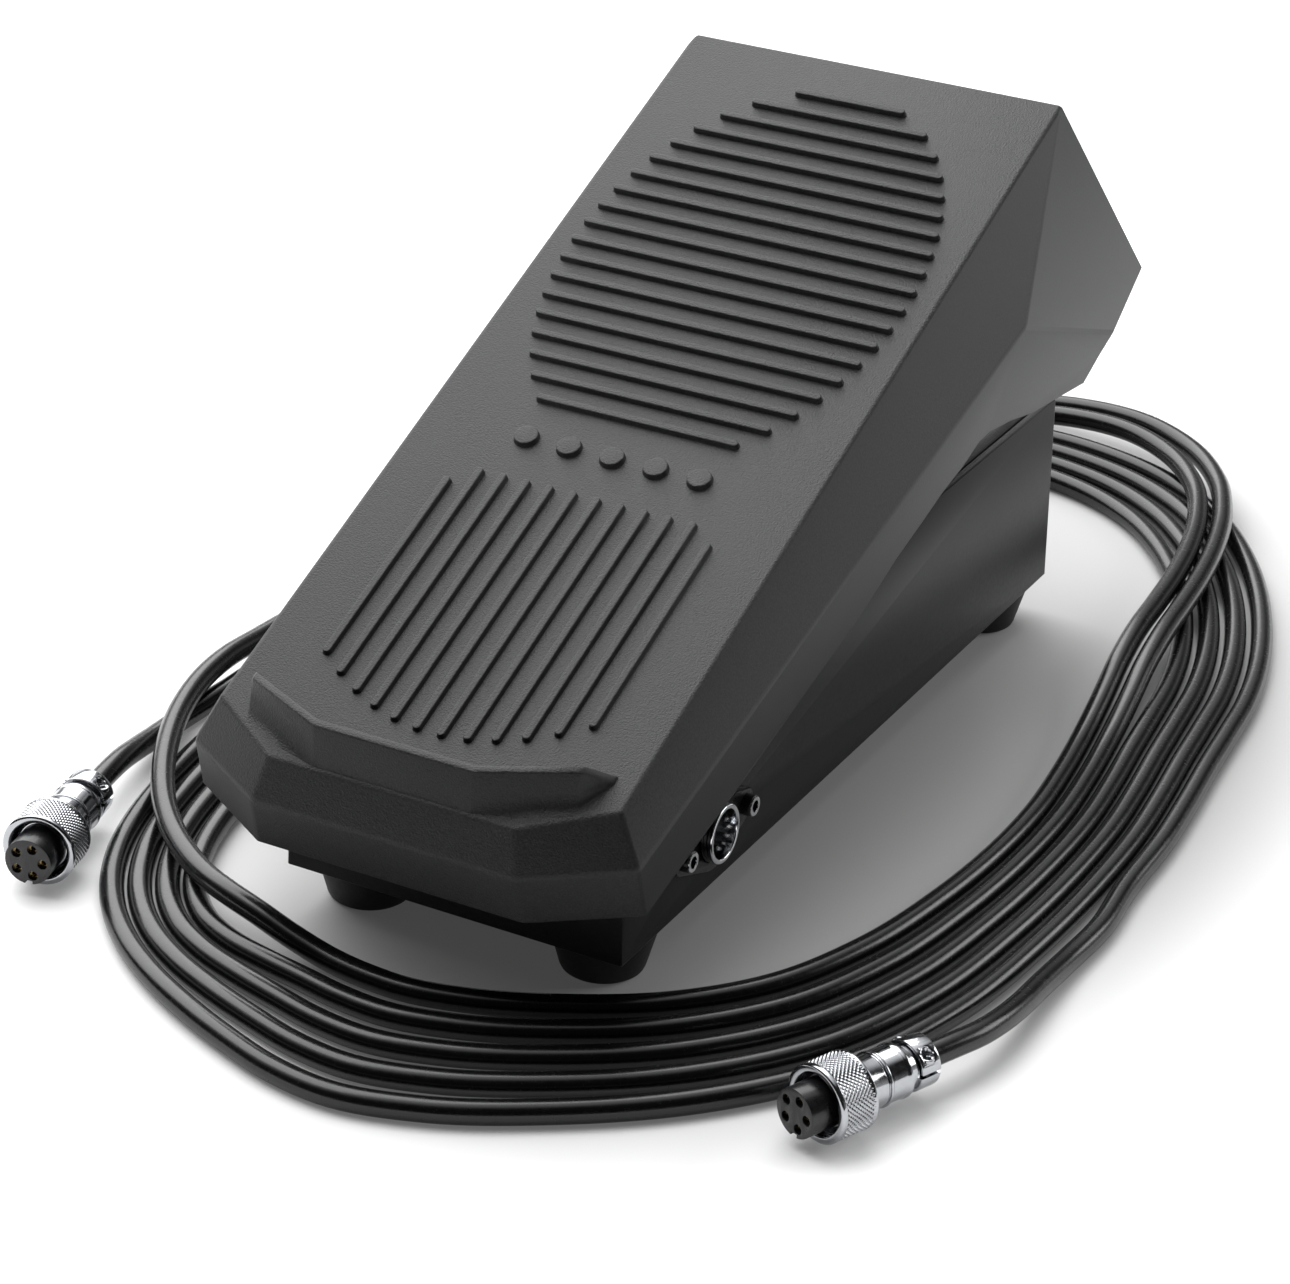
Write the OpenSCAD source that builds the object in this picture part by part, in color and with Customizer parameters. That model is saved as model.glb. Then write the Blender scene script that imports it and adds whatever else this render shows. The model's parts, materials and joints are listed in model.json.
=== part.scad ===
// Foot pedal of a sewing machine: a sprung treadle hinged on a tub-shaped base, a gear
// sector that turns a potentiometer, a lever switch, a round five-pin socket and a
// loose lead with a plug at each end, lying in turns round the base.
// Millimetres. +Z is up, +X is the user's right, +Y points to the high end.
// The origin is on the floor, in the middle of the treadle's footprint.

/* [Treadle] */
// Width of the flat top plate
plate_w = 100; // [90:1:108]
// Height of the plate's rear edge above the floor
treadle_h = 153.5; // [150:0.5:158]
// Height of the plate's front edge above the floor
plate_front_z = 54.4; // [53.6:0.1:55.4]
// Distance of the plate's rear edge behind the origin
plate_rear_y = 96; // [92:1:98]
// Distance of the plate's front edge ahead of the origin
plate_front_y = 132; // [130:0.5:133]
// Half length of the treadle's footprint
footprint_half = 135.5; // [134.5:0.5:137]
// Wall of the treadle's shell
shell_wall = 2.6; // [2:0.1:3]
// Lean of the side flanks from the plate, in degrees
flank_angle = 30.5; // [28:0.5:32]
// Height of the nose's front edge above the floor
nose_z = 44.6; // [44:0.2:46]
// Half width of the nose's front edge
nose_half = 33; // [30:0.5:35]
// Half width of the cheeks at the front
cheek_half = 56.2; // [55.5:0.1:57]

/* [Tread pattern] */
// Width of an anti-slip rib
rib_w = 1.9; // [1.4:0.1:2.6]
// Height of the ribs and dots above the plate
rib_h = 1.1; // [0.6:0.1:1.6]
// Number of cross ribs
cross_ribs = 19; // [15:1:19]
// Spacing of the cross ribs down the plate
cross_pitch = 6.5; // [5.5:0.1:6.6]
// Half width of the oval that the cross ribs fill
oval_half_w = 44.2; // [38:0.1:45]
// Number of long ribs
long_ribs = 12; // [8:2:12]
// Spacing of the long ribs across the plate
long_pitch = 6.08; // [5:0.02:6.4]
// Radius of a raised dot
dot_r = 2.9; // [2:0.1:3.4]
// Height of the toe stop above the plate
lip_h = 8.8; // [6:0.2:9.4]
// Thickness of the toe stop
lip_t = 2; // [1.6:0.1:2.6]

/* [Base] */
// Width of the base at its bottom
tub_w = 86.6; // [84:0.2:88]
// Distance of the base's front wall ahead of the origin
tub_front_y = 105.4; // [105:0.1:107]
// Distance of the base's rear wall behind the origin
tub_rear_y = 132.7; // [128:0.1:134]
// Height of the base's top edge above the floor
tub_top = 61.4; // [61:0.1:62.4]
// Draft of the side walls, in degrees
tub_draft = 1.6; // [1:0.1:2]
// Wall of the base
tub_wall = 2.5; // [2.2:0.1:2.8]
// Thickness of the base's floor
floor_t = 3; // [2.5:0.1:3.4]
// Thickness of the lid
lid_t = 2.5; // [2:0.1:2.8]
// Height of the rubber feet
foot_h = 11; // [10:0.2:12]
// Radius of a foot where it meets the floor
foot_r = 9.5; // [8.5:0.1:10]

/* [Hinge] */
// Distance of the hinge ahead of the origin
hinge_y = 96; // [95.6:0.1:96.2]
// Height of the hinge above the floor
hinge_z = 51.4; // [51:0.1:52]
// Radius of the hinge pin
pin_r = 3; // [2.4:0.1:3.4]
// Radial clearance of a pin or shaft that turns in its bore
run_fit = 0.03; // [0.02:0.01:0.08]
// Travel of the treadle, in degrees
travel = 10; // [8:0.5:10.5]
// Clearance between a moving piece and its stop
stop_gap = 0.3; // [0.2:0.05:0.5]

/* [Gears] */
// Module of the gear teeth
gear_mod = 1; // [0.9:0.05:1]
// Teeth of the whole circle that the sector is cut from
sector_teeth = 160; // [158:2:162]
// Teeth of the pinion
pinion_teeth = 12; // [12:1:13]
// Thickness of the sector
sector_t = 4; // [3:0.2:4.6]
// Face width of the pinion
pinion_t = 6; // [5:0.2:6.4]
// Radius of the potentiometer's shaft
shaft_r = 3; // [2.5:0.1:3]
// Radius of the potentiometer's case
pot_r = 12; // [10:0.2:12.4]

/* [Spring and switch] */
// Distance of the return spring behind the origin
spring_y = 10; // [8:0.5:14]
// Mean radius of the return spring
spring_r = 8.2; // [7.6:0.1:8.6]
// Radius of the spring's wire
spring_wire_r = 1; // [0.8:0.05:1.1]
// Length of the switch's case
switch_len = 20; // [18:0.5:20]
// Slope of the switch's lever at rest, in degrees
lever_angle = 24; // [24:0.5:26]
// Length of the switch's lever
lever_len = 18; // [17:0.5:19]

/* [Socket and plugs] */
// Distance of the socket's axis ahead of the origin
socket_y = 64.5; // [63:0.5:66]
// Height of the socket's axis above the floor
socket_z = 25.9; // [25:0.1:28]
// Outer radius of the socket's threaded shell
socket_r = 7; // [6.8:0.05:7.1]
// Radius of a plug's or socket's insulator
insert_r = 5.65; // [5.4:0.05:5.7]
// Radius of the ring of contacts
contact_ring = 3.5; // [3.5:0.05:3.7]
// Outer radius of a plug's coupling nut
nut_r = 8.85; // [8.5:0.05:9.4]
// Radius of a plug's barrel
barrel_r = 6; // [5.9:0.05:6.2]
// Length of a plug
plug_len = 36; // [34:0.5:38]

/* [Lead] */
// Diameter of the lead
cord_d = 5.8; // [5.4:0.1:5.8]

/* [Hidden] */

$fn = 48;
far = 400;

moulded = "dimgray";
rubber = "#202020";
steel = "silver";
chrome = "gainsboro";
brass = "goldenrod";
nylon = "ivory";

hinge = [0, -hinge_y, hinge_z];

// Rest the treadle's pieces: draw them as they lie when the treadle is pressed
module from_pressed() {
    translate(hinge) rotate([travel, 0, 0]) translate(-hinge) children();
}

// A flat piece of thickness t that starts at x0, drawn as [Y, Z]
module slab(x0, t) {
    translate([x0, 0, 0]) rotate([90, 0, 90]) linear_extrude(t) children();
}

// A rod along +X
module rod_x(r, x0, x1) {
    translate([x0, 0, 0]) rotate([0, 90, 0]) cylinder(r = r, h = x1 - x0);
}

module both_sides() {
    children();
    mirror([1, 0, 0]) children();
}

// Everything beyond a plane through p whose outward normal has azimuth az and elevation
// el; inset moves the plane inwards
module beyond(p, az, el, inset = 0) {
    translate(p) rotate([0, -el, az]) translate([-inset, -far, -far])
        cube([2 * far, 2 * far, 2 * far]);
}

// ---------------------------------------------------------------- treadle form
rise = treadle_h - plate_front_z;
plate_slope = atan(rise / (plate_rear_y + plate_front_y));
flank_az = atan2(-sin(flank_angle) * sin(plate_slope), cos(flank_angle));
flank_el = asin(sin(flank_angle) * cos(plate_slope));
nose_slope_el = 19.8;
nose_band_el = -15;
rear_el = 37.1;
cheek_draft = 2;
nose_top_half = nose_half - 2.5;
corner_cut = 0.5;

// Middle planes of the form: plate, nose slope, nose band, rear face
MIDDLE = [
    [[0, plate_rear_y, treadle_h], -90, 90 - plate_slope],
    [[0, -plate_front_y, plate_front_z], -90, nose_slope_el],
    [[0, -footprint_half, nose_z], -90, nose_band_el],
    [[0, plate_rear_y, treadle_h], 90, rear_el]];
// Planes on the right side, mirrored to the left: nose corner slope and band, flank,
// cheek, rear flare
SIDE = [
    [[nose_top_half, -plate_front_y, plate_front_z], -66, 22.6],
    [[nose_half, -footprint_half, nose_z], -60.3, -12.6],
    [[plate_w / 2, plate_rear_y, treadle_h], flank_az, flank_el],
    [[cheek_half, -footprint_half + 12.5, 0], -cheek_draft, 0],
    [[plate_w / 2 + corner_cut, plate_rear_y, treadle_h - 2 * corner_cut], 2.85, 13.55]];

module treadle_form(inset) {
    difference() {
        translate([-far / 2, -far / 2, 0]) cube([far, far, treadle_h + 1]);
        for (p = MIDDLE) beyond(p[0], p[1], p[2], inset);
        both_sides() for (p = SIDE) beyond(p[0], p[1], p[2], inset);
    }
}

// Height of the rear rim, where the rear face reaches the end of the footprint
rear_rim_z = treadle_h - (footprint_half - plate_rear_y) / tan(rear_el);
// Lower edge of the skirt: shares of the footprint's length from the nose, and shares of
// the plate's rise above the nose's own rim
RIM = [[0.012, 0], [0.057, 0.025], [0.22, 0.179], [0.404, 0.356], [0.467, 0.434],
       [0.51, 0.476], [0.552, 0.519], [0.589, 0.547], [0.618, 0.58], [0.64, 0.586],
       [0.681, 0.573], [0.732, 0.547], [0.78, 0.538], [0.842, 0.523], [0.874, 0.57],
       [0.903, 0.606]];
nose_rim_z = nose_z - 12;
rim_line = concat([[-footprint_half - 10, nose_rim_z - 2]],
                  [for (p = RIM) [(2 * p[0] - 1) * footprint_half, nose_rim_z + p[1] * rise]],
                  [[footprint_half, rear_rim_z], [footprint_half + far, rear_rim_z + 80]]);

module below_rim() {
    slab(-far / 2, far)
        polygon(concat([[footprint_half + far, -5], [-footprint_half - 10, -5]], rim_line));
}

// Puts children on the plate: x across, y up the slope from the rear edge, z outwards
module on_plate() {
    translate([0, plate_rear_y, treadle_h]) rotate([plate_slope, 0, 0]) children();
}

// ---------------------------------------------------------------- hinge parts
ear_r = 6.2;
ear_x = tub_w / 2 - 10.3;
ear_t = 3;
bush_r = 4.5;
bush_flange_r = 6;
bush_flange_t = 1.2;
pin_boss_x = ear_x + ear_t + bush_flange_t + stop_gap;
clip_t = 1;
clip_r = 5.2;
groove_depth = 0.6;
leg_len = 14;
leg_half = 4;

function tub_half(z) = tub_w / 2 - (z - foot_h) * tan(tub_draft);
clip_x = tub_half(hinge_z - clip_r) + stop_gap;
pin_end = clip_x + clip_t + 1.2;

module ear_outline() {
    translate([-hinge_y, hinge_z]) circle(ear_r);
    polygon([[-hinge_y - ear_r, hinge_z], [-hinge_y + ear_r, hinge_z],
             [-hinge_y + ear_r + 16, treadle_h], [-hinge_y - ear_r, treadle_h]]);
    translate([-hinge_y - leg_half, hinge_z - leg_len])
        square([2 * leg_half, leg_len]);
}

// ---------------------------------------------------------------- gears
pitch_r = gear_mod * sector_teeth / 2;
pinion_r = gear_mod * pinion_teeth / 2;
mesh_angle = -8;
pressure = 20;
tooth_thin = 0.08;
sector_add = 0.65 * gear_mod;
sector_ded = 1.25 * gear_mod;
pinion_add = gear_mod;
pinion_ded = 0.85 * gear_mod;
sector_rim_w = 14;
hinge_to_plate = (plate_front_z + (plate_front_y - hinge_y) * tan(plate_slope) - hinge_z)
               * cos(plate_slope) - shell_wall;
sector_top_angle = plate_slope + asin((hinge_to_plate - 1) / pitch_r);
tooth_step = 360 / sector_teeth;
pot_centre = [-hinge_y + (pitch_r + pinion_r) * cos(mesh_angle),
              hinge_z + (pitch_r + pinion_r) * sin(mesh_angle)];

// Involute function of an angle in degrees, in radians
function inv(a) = tan(a) - a * PI / 180;

// Half the angle that a tooth spans at radius r, in degrees
function half_tooth(r, teeth) =
    let (base = gear_mod * teeth / 2 * cos(pressure))
    ((PI / 2 - 2 * tooth_thin / gear_mod) / teeth + inv(pressure)
        - inv(acos(min(1, base / r)))) * 180 / PI;

// Outline of one tooth centred on angle c, from root radius r0 to tip radius r1
function tooth(c, teeth, r0, r1, steps = 4) =
    let (base = gear_mod * teeth / 2 * cos(pressure),
         rs = concat([r0], [for (i = [0 : steps]) let (lo = max(base, r0 + 0.05))
                            lo + (r1 - lo) * i / steps]))
    concat([for (r = rs) let (a = c - half_tooth(r, teeth)) r * [cos(a), sin(a)]],
           [for (i = [len(rs) - 1 : -1 : 0])
            let (a = c + half_tooth(rs[i], teeth)) rs[i] * [cos(a), sin(a)]]);

function arc(r, a0, a1, n) =
    [for (i = [0 : n]) let (a = a0 + (a1 - a0) * i / n) r * [cos(a), sin(a)]];

first_tooth = -2;
last_tooth = 6;
sector_low = mesh_angle + (first_tooth - 0.6) * tooth_step;
sector_outline = concat(
    [(pitch_r - sector_ded) * [cos(sector_low), sin(sector_low)]],
    [for (k = [first_tooth : last_tooth], p = tooth(mesh_angle + k * tooth_step,
        sector_teeth, pitch_r - sector_ded, pitch_r + sector_add)) p],
    arc(pitch_r - sector_ded, mesh_angle + (last_tooth + 0.6) * tooth_step,
        sector_top_angle, 12),
    arc(pitch_r - sector_rim_w, sector_top_angle, sector_low, 20));
pinion_phase = 180 + mesh_angle + 180 / pinion_teeth;
pinion_outline = [for (k = [0 : pinion_teeth - 1],
    p = tooth(pinion_phase + k * 360 / pinion_teeth, pinion_teeth,
              pinion_r - pinion_ded, pinion_r + pinion_add)) p];

// Places of the two screws that hold the sector, as [Y, Z]
sector_screw_r = pitch_r - sector_rim_w / 2;
SECTOR_SCREWS = [for (a = [sector_top_angle - 8.5, sector_top_angle - 2])
                 [-hinge_y + sector_screw_r * cos(a), hinge_z + sector_screw_r * sin(a)]];
sector_boss_t = 6;
sector_boss_z = SECTOR_SCREWS[0][1] - 3.2;

// ---------------------------------------------------------------- screws
m3_r = 1.5;
m3_hole = m3_r + 0.05;
m3_head_r = 2.8;
m3_head_h = 1.8;
small_r = 1.15;
small_hole = small_r + 0.05;
small_head_r = 2.2;
small_head_h = 1.3;

// A pan-head screw: shank down from z = 0, head above, with a cross recess
module screw(r, len, head_r, head_h) {
    difference() {
        union() {
            translate([0, 0, -len]) cylinder(r = r, h = len);
            cylinder(r = head_r, h = head_h);
        }
        for (a = [0, 90]) rotate(a)
            translate([-head_r * 0.6, -head_r * 0.13, head_h * 0.45])
                cube([head_r * 1.2, head_r * 0.26, head_h]);
    }
}

// ---------------------------------------------------------------- places in the base
inner_floor = foot_h + floor_t;
lid_z = tub_top - lid_t;
lid_front = -56;
lid_gap = 0.3;
lid_half = tub_half(tub_top) - tub_wall - lid_gap;
lid_screw_in = 6.1;
LID_SCREWS = [for (x = [-1, 1], y = [lid_front + 7, tub_rear_y - lid_screw_in - tub_wall])
              [x * (lid_half - lid_screw_in), y]];
lid_boss_r = 4;
foot_in = 15;
front_foot_y = -tub_front_y + foot_in + 0.4;
rear_foot_y = tub_rear_y - foot_in + 0.3;
foot_x = tub_w / 2 - 12.8;
foot_top_r = foot_r + 3;
foot_boss_r = 5;
foot_boss_h = 10;
foot_recess_r = 4;
foot_recess_h = 5;
bumper_h = 10;
bumper_r = 6;
bumper_stem_r = 2;
BUMPERS = [for (x = [-24, 24]) [x, tub_rear_y - 52.7]];
post_w = 10;
post_t = 2.4;
spring_cup_h = 4;
spring_pilot_r = spring_r - spring_wire_r - 0.6;
spring_pilot_h = 5;
spring_seat_z = hinge_z;
spring_cup_r = spring_r + spring_wire_r + 0.4;
seat_tube_r = spring_r + 1.3;
seat_tube_bore = seat_tube_r - 2.2;
seat_hole_r = seat_tube_r + 3;
seat_hole_y = spring_y + 1.6;
slot_half = sector_t / 2 + 1.6;
slot_y0 = -hinge_y + pitch_r - sector_rim_w - 2.5;
slot_y1 = -hinge_y + pitch_r + sector_add + 1.5;
stop_web_t = 3.6;

// Potentiometer, bracket and nut
bracket_x = pinion_t / 2 + 5;
bracket_t = 2;
bracket_foot_z = inner_floor + 6;
bracket_top = pot_centre[1] + 8;
bracket_y0 = pot_centre[0] - 11;
bracket_y1 = pot_centre[0] + 11;
bracket_foot_len = 16;
BRACKET_SCREWS = [for (y = [-7.2, 7.2]) [bracket_x + 10, pot_centre[0] + y]];
bushing_r = 4.5;
bushing_x = pinion_t / 2 + 1.5;
pot_nut_r = 6.4;
pot_nut_t = 2.6;
pot_case_t = 10;
shaft_depth = 3.5;

// Switch and its lever
switch_x = 18.8;
switch_t = 6.4;
switch_h = 10;
switch_z = inner_floor + 17.4;
switch_y = -hinge_y + 16;
switch_post_t = 3;
lever_pin_r = 0.5;
lever_eye_r = 1.1;
lever_t = 0.8;
lever_w = 4.4;
lug_t = 0.8;
lever_pivot = [switch_y + 1, switch_z + switch_h + lever_eye_r + 0.2];
tab_r = 1.5;
tab_reach = lever_len - 2;
tab_off = lever_t / 2 + tab_r + stop_gap;
tab_tip = lever_pivot + tab_reach * [cos(lever_angle), sin(lever_angle)]
        + tab_off * [-sin(lever_angle), cos(lever_angle)];
SWITCH_SCREWS = [[switch_y + 4.5, switch_z + 2.8],
                 [switch_y + switch_len - 4.5, switch_z + switch_h - 2.8]];

// Socket, along its own axis: z = 0 on the wall's outer face
socket_bore = insert_r + 0.2;
thread_depth = 0.4;
socket_gap = 0.2;
socket_end = 4.3;
socket_back = -11;
socket_shoulder_r = 8.5;
socket_shoulder_t = 1.8;
socket_insert_z = -4.1;
socket_insert_t = 6.8;
pin_contact_r = 0.65;
pin_contact_tip = 0;
flange_t = 1.5;
thread_from = flange_t + 0.1;
flange_hole = 15.2;
flange_mid_r = 9.4;
flange_end_r = 3.9;
eyelet_boss_r = 2.6;
eyelet_boss_h = 3.8;
eyelet_r = 1.9;
eyelet_bore = 1.4;
eyelet_rim_r = 2.35;
eyelet_rim_t = 0.3;

module at_socket() {
    translate([tub_half(socket_z), -socket_y, socket_z]) rotate([0, 90 - tub_draft, 0])
        children();
}

// ---------------------------------------------------------------- base modules
module tub_form(inset, z0, z1) {
    difference() {
        translate([-far / 2, -far / 2, z0]) cube([far, far, z1 - z0]);
        both_sides() beyond([tub_w / 2, 0, foot_h], 0, tub_draft, inset);
        beyond([0, -tub_front_y, 0], -90, 0, inset);
        beyond([0, tub_rear_y, 0], 90, 0, inset);
    }
}

module base_tub() color(moulded) {
    difference() {
        union() {
            difference() {
                tub_form(0, foot_h, tub_top);
                tub_form(tub_wall, inner_floor, tub_top + 1);
            }
            intersection() {
                tub_form(tub_wall / 2, inner_floor - 1, tub_top - 0.5);
                union() {
                    // Bosses that centre the treadle's ears on the hinge pin
                    both_sides() translate(hinge) rod_x(ear_r, pin_boss_x, tub_w / 2);
                    // Webs that stop the treadle's legs at rest
                    both_sides()
                        translate([ear_x - 1.5, -hinge_y + leg_half + stop_gap, foot_h])
                            cube([tub_w / 2, stop_web_t, hinge_z - ear_r - 2 - foot_h]);
                    slab(switch_x - switch_post_t, switch_post_t)
                        translate([switch_y, foot_h + 1])
                            square([switch_len, switch_z + switch_h - foot_h - 1]);
                }
            }
            for (p = LID_SCREWS) translate([p[0], p[1], inner_floor - 1])
                cylinder(r = lid_boss_r, h = lid_z - inner_floor + 1);
            both_sides() for (y = [front_foot_y, rear_foot_y])
                translate([foot_x, y, inner_floor - 1])
                    cylinder(r = foot_boss_r, h = foot_boss_h + 1);
            for (p = BRACKET_SCREWS) translate([p[0], p[1], inner_floor - 1])
                cylinder(r = 3.8, h = bracket_foot_z - inner_floor + 1);
            // Cup and pilot of the return spring
            translate([0, spring_y, inner_floor - 1]) {
                difference() {
                    cylinder(r = spring_cup_r + 1.6, h = spring_cup_h + 1);
                    translate([0, 0, 1]) cylinder(r = spring_cup_r, h = spring_cup_h + 1);
                }
                cylinder(r = spring_pilot_r, h = spring_pilot_h + 1);
            }
        }
        translate([0, -hinge_y, hinge_z]) rod_x(pin_r + run_fit, -far / 2, far / 2);
        for (p = LID_SCREWS) translate([p[0], p[1], lid_z - 9])
            cylinder(r = m3_hole, h = 10);
        both_sides() for (y = [front_foot_y, rear_foot_y])
            translate([foot_x, y, foot_h - 1]) cylinder(r = m3_hole, h = 11);
        for (p = BRACKET_SCREWS) translate([p[0], p[1], bracket_foot_z - 7])
            cylinder(r = m3_hole, h = 8);
        for (p = SWITCH_SCREWS) translate([0, p[0], p[1]])
            rod_x(small_hole, switch_x - switch_post_t - 1, switch_x + 1);
        at_socket() {
            translate([0, 0, -tub_wall - 2]) cylinder(r = socket_r + socket_gap, h = tub_wall + 4);
            for (s = [-1, 1]) translate([0, s * flange_hole, -tub_wall - 2])
                cylinder(r = eyelet_r + 0.02, h = tub_wall + 4);
        }
    }
}

module base_lid() color(moulded) {
    difference() {
        translate([-lid_half, lid_front, lid_z])
            cube([2 * lid_half, tub_rear_y - tub_wall - lid_gap - lid_front, lid_t]);
        translate([-slot_half, slot_y0, lid_z - 1])
            cube([2 * slot_half, slot_y1 - slot_y0, lid_t + 2]);
        translate([0, seat_hole_y, lid_z - 1]) cylinder(r = seat_hole_r, h = lid_t + 2);
        for (p = LID_SCREWS) translate([p[0], p[1], lid_z - 1])
            cylinder(r = m3_hole + 0.2, h = lid_t + 2);
        for (p = BUMPERS) translate([p[0], p[1], lid_z - 1])
            cylinder(r = bumper_stem_r + 0.02, h = lid_t + 2);
    }
}

module lid_screws() color(steel)
    for (p = LID_SCREWS) translate([p[0], p[1], tub_top])
        screw(m3_r, lid_t + 8, m3_head_r, m3_head_h);

// A tapered rubber foot with a rounded lower edge and a recess for its screw
module foot(x, y) color(rubber)
    translate([x, y, 0]) rotate_extrude()
        polygon(concat([[foot_recess_r, 0], [foot_r - 1.5, 0]],
                       [for (a = [-60 : 30 : 0]) [foot_r - 1.5 + 1.5 * cos(a),
                                                  1.5 + 1.5 * sin(a)]],
                       [[foot_top_r, foot_h], [m3_hole, foot_h],
                        [m3_hole, foot_recess_h], [foot_recess_r, foot_recess_h]]));

module foot_front_left() foot(-foot_x, front_foot_y);
module foot_front_right() foot(foot_x, front_foot_y);
module foot_rear_left() foot(-foot_x, rear_foot_y);
module foot_rear_right() foot(foot_x, rear_foot_y);

module foot_screws() color(steel)
    both_sides() for (y = [front_foot_y, rear_foot_y])
        translate([foot_x, y, foot_recess_h]) mirror([0, 0, 1])
            screw(m3_r, foot_h - foot_recess_h + 8, m3_head_r, m3_head_h);

module hinge_pin() color(steel)
    difference() {
        translate(hinge) rod_x(pin_r, -pin_end, pin_end);
        both_sides() translate(hinge) difference() {
            rod_x(pin_r + 1, clip_x, clip_x + clip_t + 0.05);
            rod_x(pin_r - groove_depth, clip_x - 1, clip_x + clip_t + 1);
        }
    }

module hinge_clips() color(steel)
    both_sides() translate(hinge) difference() {
        rod_x(clip_r, clip_x, clip_x + clip_t);
        rod_x(pin_r - groove_depth + 0.02, clip_x - 1, clip_x + clip_t + 1);
        translate([clip_x - 1, -1.6, -far]) cube([clip_t + 2, 3.2, far]);
    }

module stop_bumpers() color(rubber)
    for (p = BUMPERS) translate([p[0], p[1], tub_top]) {
        cylinder(r1 = bumper_r, r2 = bumper_r - 1, h = bumper_h);
        translate([0, 0, -lid_t]) cylinder(r = bumper_stem_r, h = lid_t);
    }

module pot_bracket() color(steel)
    difference() {
        union() {
            slab(bracket_x, bracket_t)
                translate([bracket_y0, bracket_foot_z])
                    square([bracket_y1 - bracket_y0, bracket_top - bracket_foot_z]);
            translate([bracket_x, bracket_y0, bracket_foot_z])
                cube([bracket_foot_len, bracket_y1 - bracket_y0, bracket_t]);
        }
        translate([0, pot_centre[0], pot_centre[1]])
            rod_x(bushing_r + 0.05, bracket_x - 1, bracket_x + bracket_t + 1);
        for (p = BRACKET_SCREWS) translate([p[0], p[1], bracket_foot_z - 1])
            cylinder(r = m3_hole + 0.1, h = bracket_t + 2);
    }

module pot_body() color("darkslategray")
    translate([0, pot_centre[0], pot_centre[1]]) difference() {
        union() {
            rod_x(pot_r, bracket_x + bracket_t, bracket_x + bracket_t + pot_case_t);
            rod_x(bushing_r, bushing_x, bracket_x + bracket_t + 1);
            // Three solder lugs on the front edge
            for (z = [-4, 0, 4])
                translate([bracket_x + bracket_t + 3, -pot_r - 4, z - 0.8])
                    cube([0.8, pot_r, 1.6]);
        }
        rod_x(shaft_r + run_fit, 0, bracket_x + bracket_t + shaft_depth);
    }

module pot_nut() color(steel)
    translate([0, pot_centre[0], pot_centre[1]]) difference() {
        translate([bracket_x - pot_nut_t, 0, 0]) rotate([0, 90, 0])
            cylinder(r = pot_nut_r, h = pot_nut_t, $fn = 6);
        rod_x(bushing_r + 0.05, bracket_x - pot_nut_t - 1, bracket_x + 1);
    }

module bracket_screws() color(steel)
    for (p = BRACKET_SCREWS) translate([p[0], p[1], bracket_foot_z + bracket_t])
        screw(m3_r, bracket_t + 6, m3_head_r - 0.3, m3_head_h - 0.2);

module switch_case() color("black")
    difference() {
        union() {
            translate([switch_x, switch_y, switch_z])
                cube([switch_t, switch_len, switch_h]);
            // Lugs that hold the lever's pin
            for (x = [switch_x, switch_x + switch_t - lug_t])
                slab(x, lug_t) {
                    translate(lever_pivot) circle(lever_eye_r + 0.3);
                    translate([lever_pivot[0] - lever_eye_r - 0.3, switch_z + switch_h - 1])
                        square([2 * lever_eye_r + 0.6,
                                lever_pivot[1] - switch_z - switch_h + 1]);
                }
            // Three terminals
            for (y = [3, 10, 17]) translate([switch_x + 2.4, switch_y + y, switch_z - 5])
                cube([1.6, 0.8, 6]);
        }
        translate([0, lever_pivot[0], lever_pivot[1]])
            rod_x(lever_pin_r + 0.01, switch_x - 1, switch_x + switch_t + 1);
        for (p = SWITCH_SCREWS) translate([0, p[0], p[1]])
            rod_x(small_hole, switch_x - 1, switch_x + switch_t + 1);
    }

module switch_pin() color(steel)
    translate([0, lever_pivot[0], lever_pivot[1]])
        rod_x(lever_pin_r, switch_x + 0.02, switch_x + switch_t);

module switch_screws() color(steel)
    for (p = SWITCH_SCREWS) translate([switch_x + switch_t, p[0], p[1]])
        rotate([0, 90, 0])
            screw(small_r, switch_t + switch_post_t, small_head_r, small_head_h);

// ---------------------------------------------------------------- socket modules
module contact_places(n = 5)
    for (k = [0 : n - 1]) rotate(90 + k * 360 / n) translate([contact_ring, 0, 0]) children();

module socket_shell() color(chrome) at_socket()
    difference() {
        union() {
            translate([0, 0, socket_back])
                cylinder(r = socket_r - thread_depth, h = socket_end - socket_back - 1);
            translate([0, 0, thread_from]) cylinder(r = socket_r, h = socket_end - thread_from);
            translate([0, 0, -tub_wall - socket_shoulder_t])
                cylinder(r = socket_shoulder_r, h = socket_shoulder_t);
        }
        translate([0, 0, socket_back - 1])
            cylinder(r = socket_bore, h = socket_end - socket_back + 2);
    }

module socket_insert() color("black") at_socket()
    translate([0, 0, socket_insert_z - socket_insert_t]) difference() {
        union() {
            cylinder(r = socket_bore - 0.02, h = socket_insert_t);
            // Key that finds the plug's groove
            translate([socket_bore - 0.9, -0.7, 0]) cube([0.6, 1.4, socket_insert_t + 4]);
        }
        contact_places() translate([0, 0, -1])
            cylinder(r = pin_contact_r + 0.02, h = socket_insert_t + 2);
    }

module socket_pins() color(chrome) at_socket()
    contact_places()
        translate([0, 0, socket_insert_z - socket_insert_t - 4]) {
            cylinder(r = pin_contact_r,
                     h = pin_contact_tip - socket_insert_z + socket_insert_t + 4 - 0.6);
            translate([0, 0, pin_contact_tip - socket_insert_z + socket_insert_t + 3.4])
                cylinder(r1 = pin_contact_r, r2 = 0.35, h = 0.6);
        }

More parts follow.
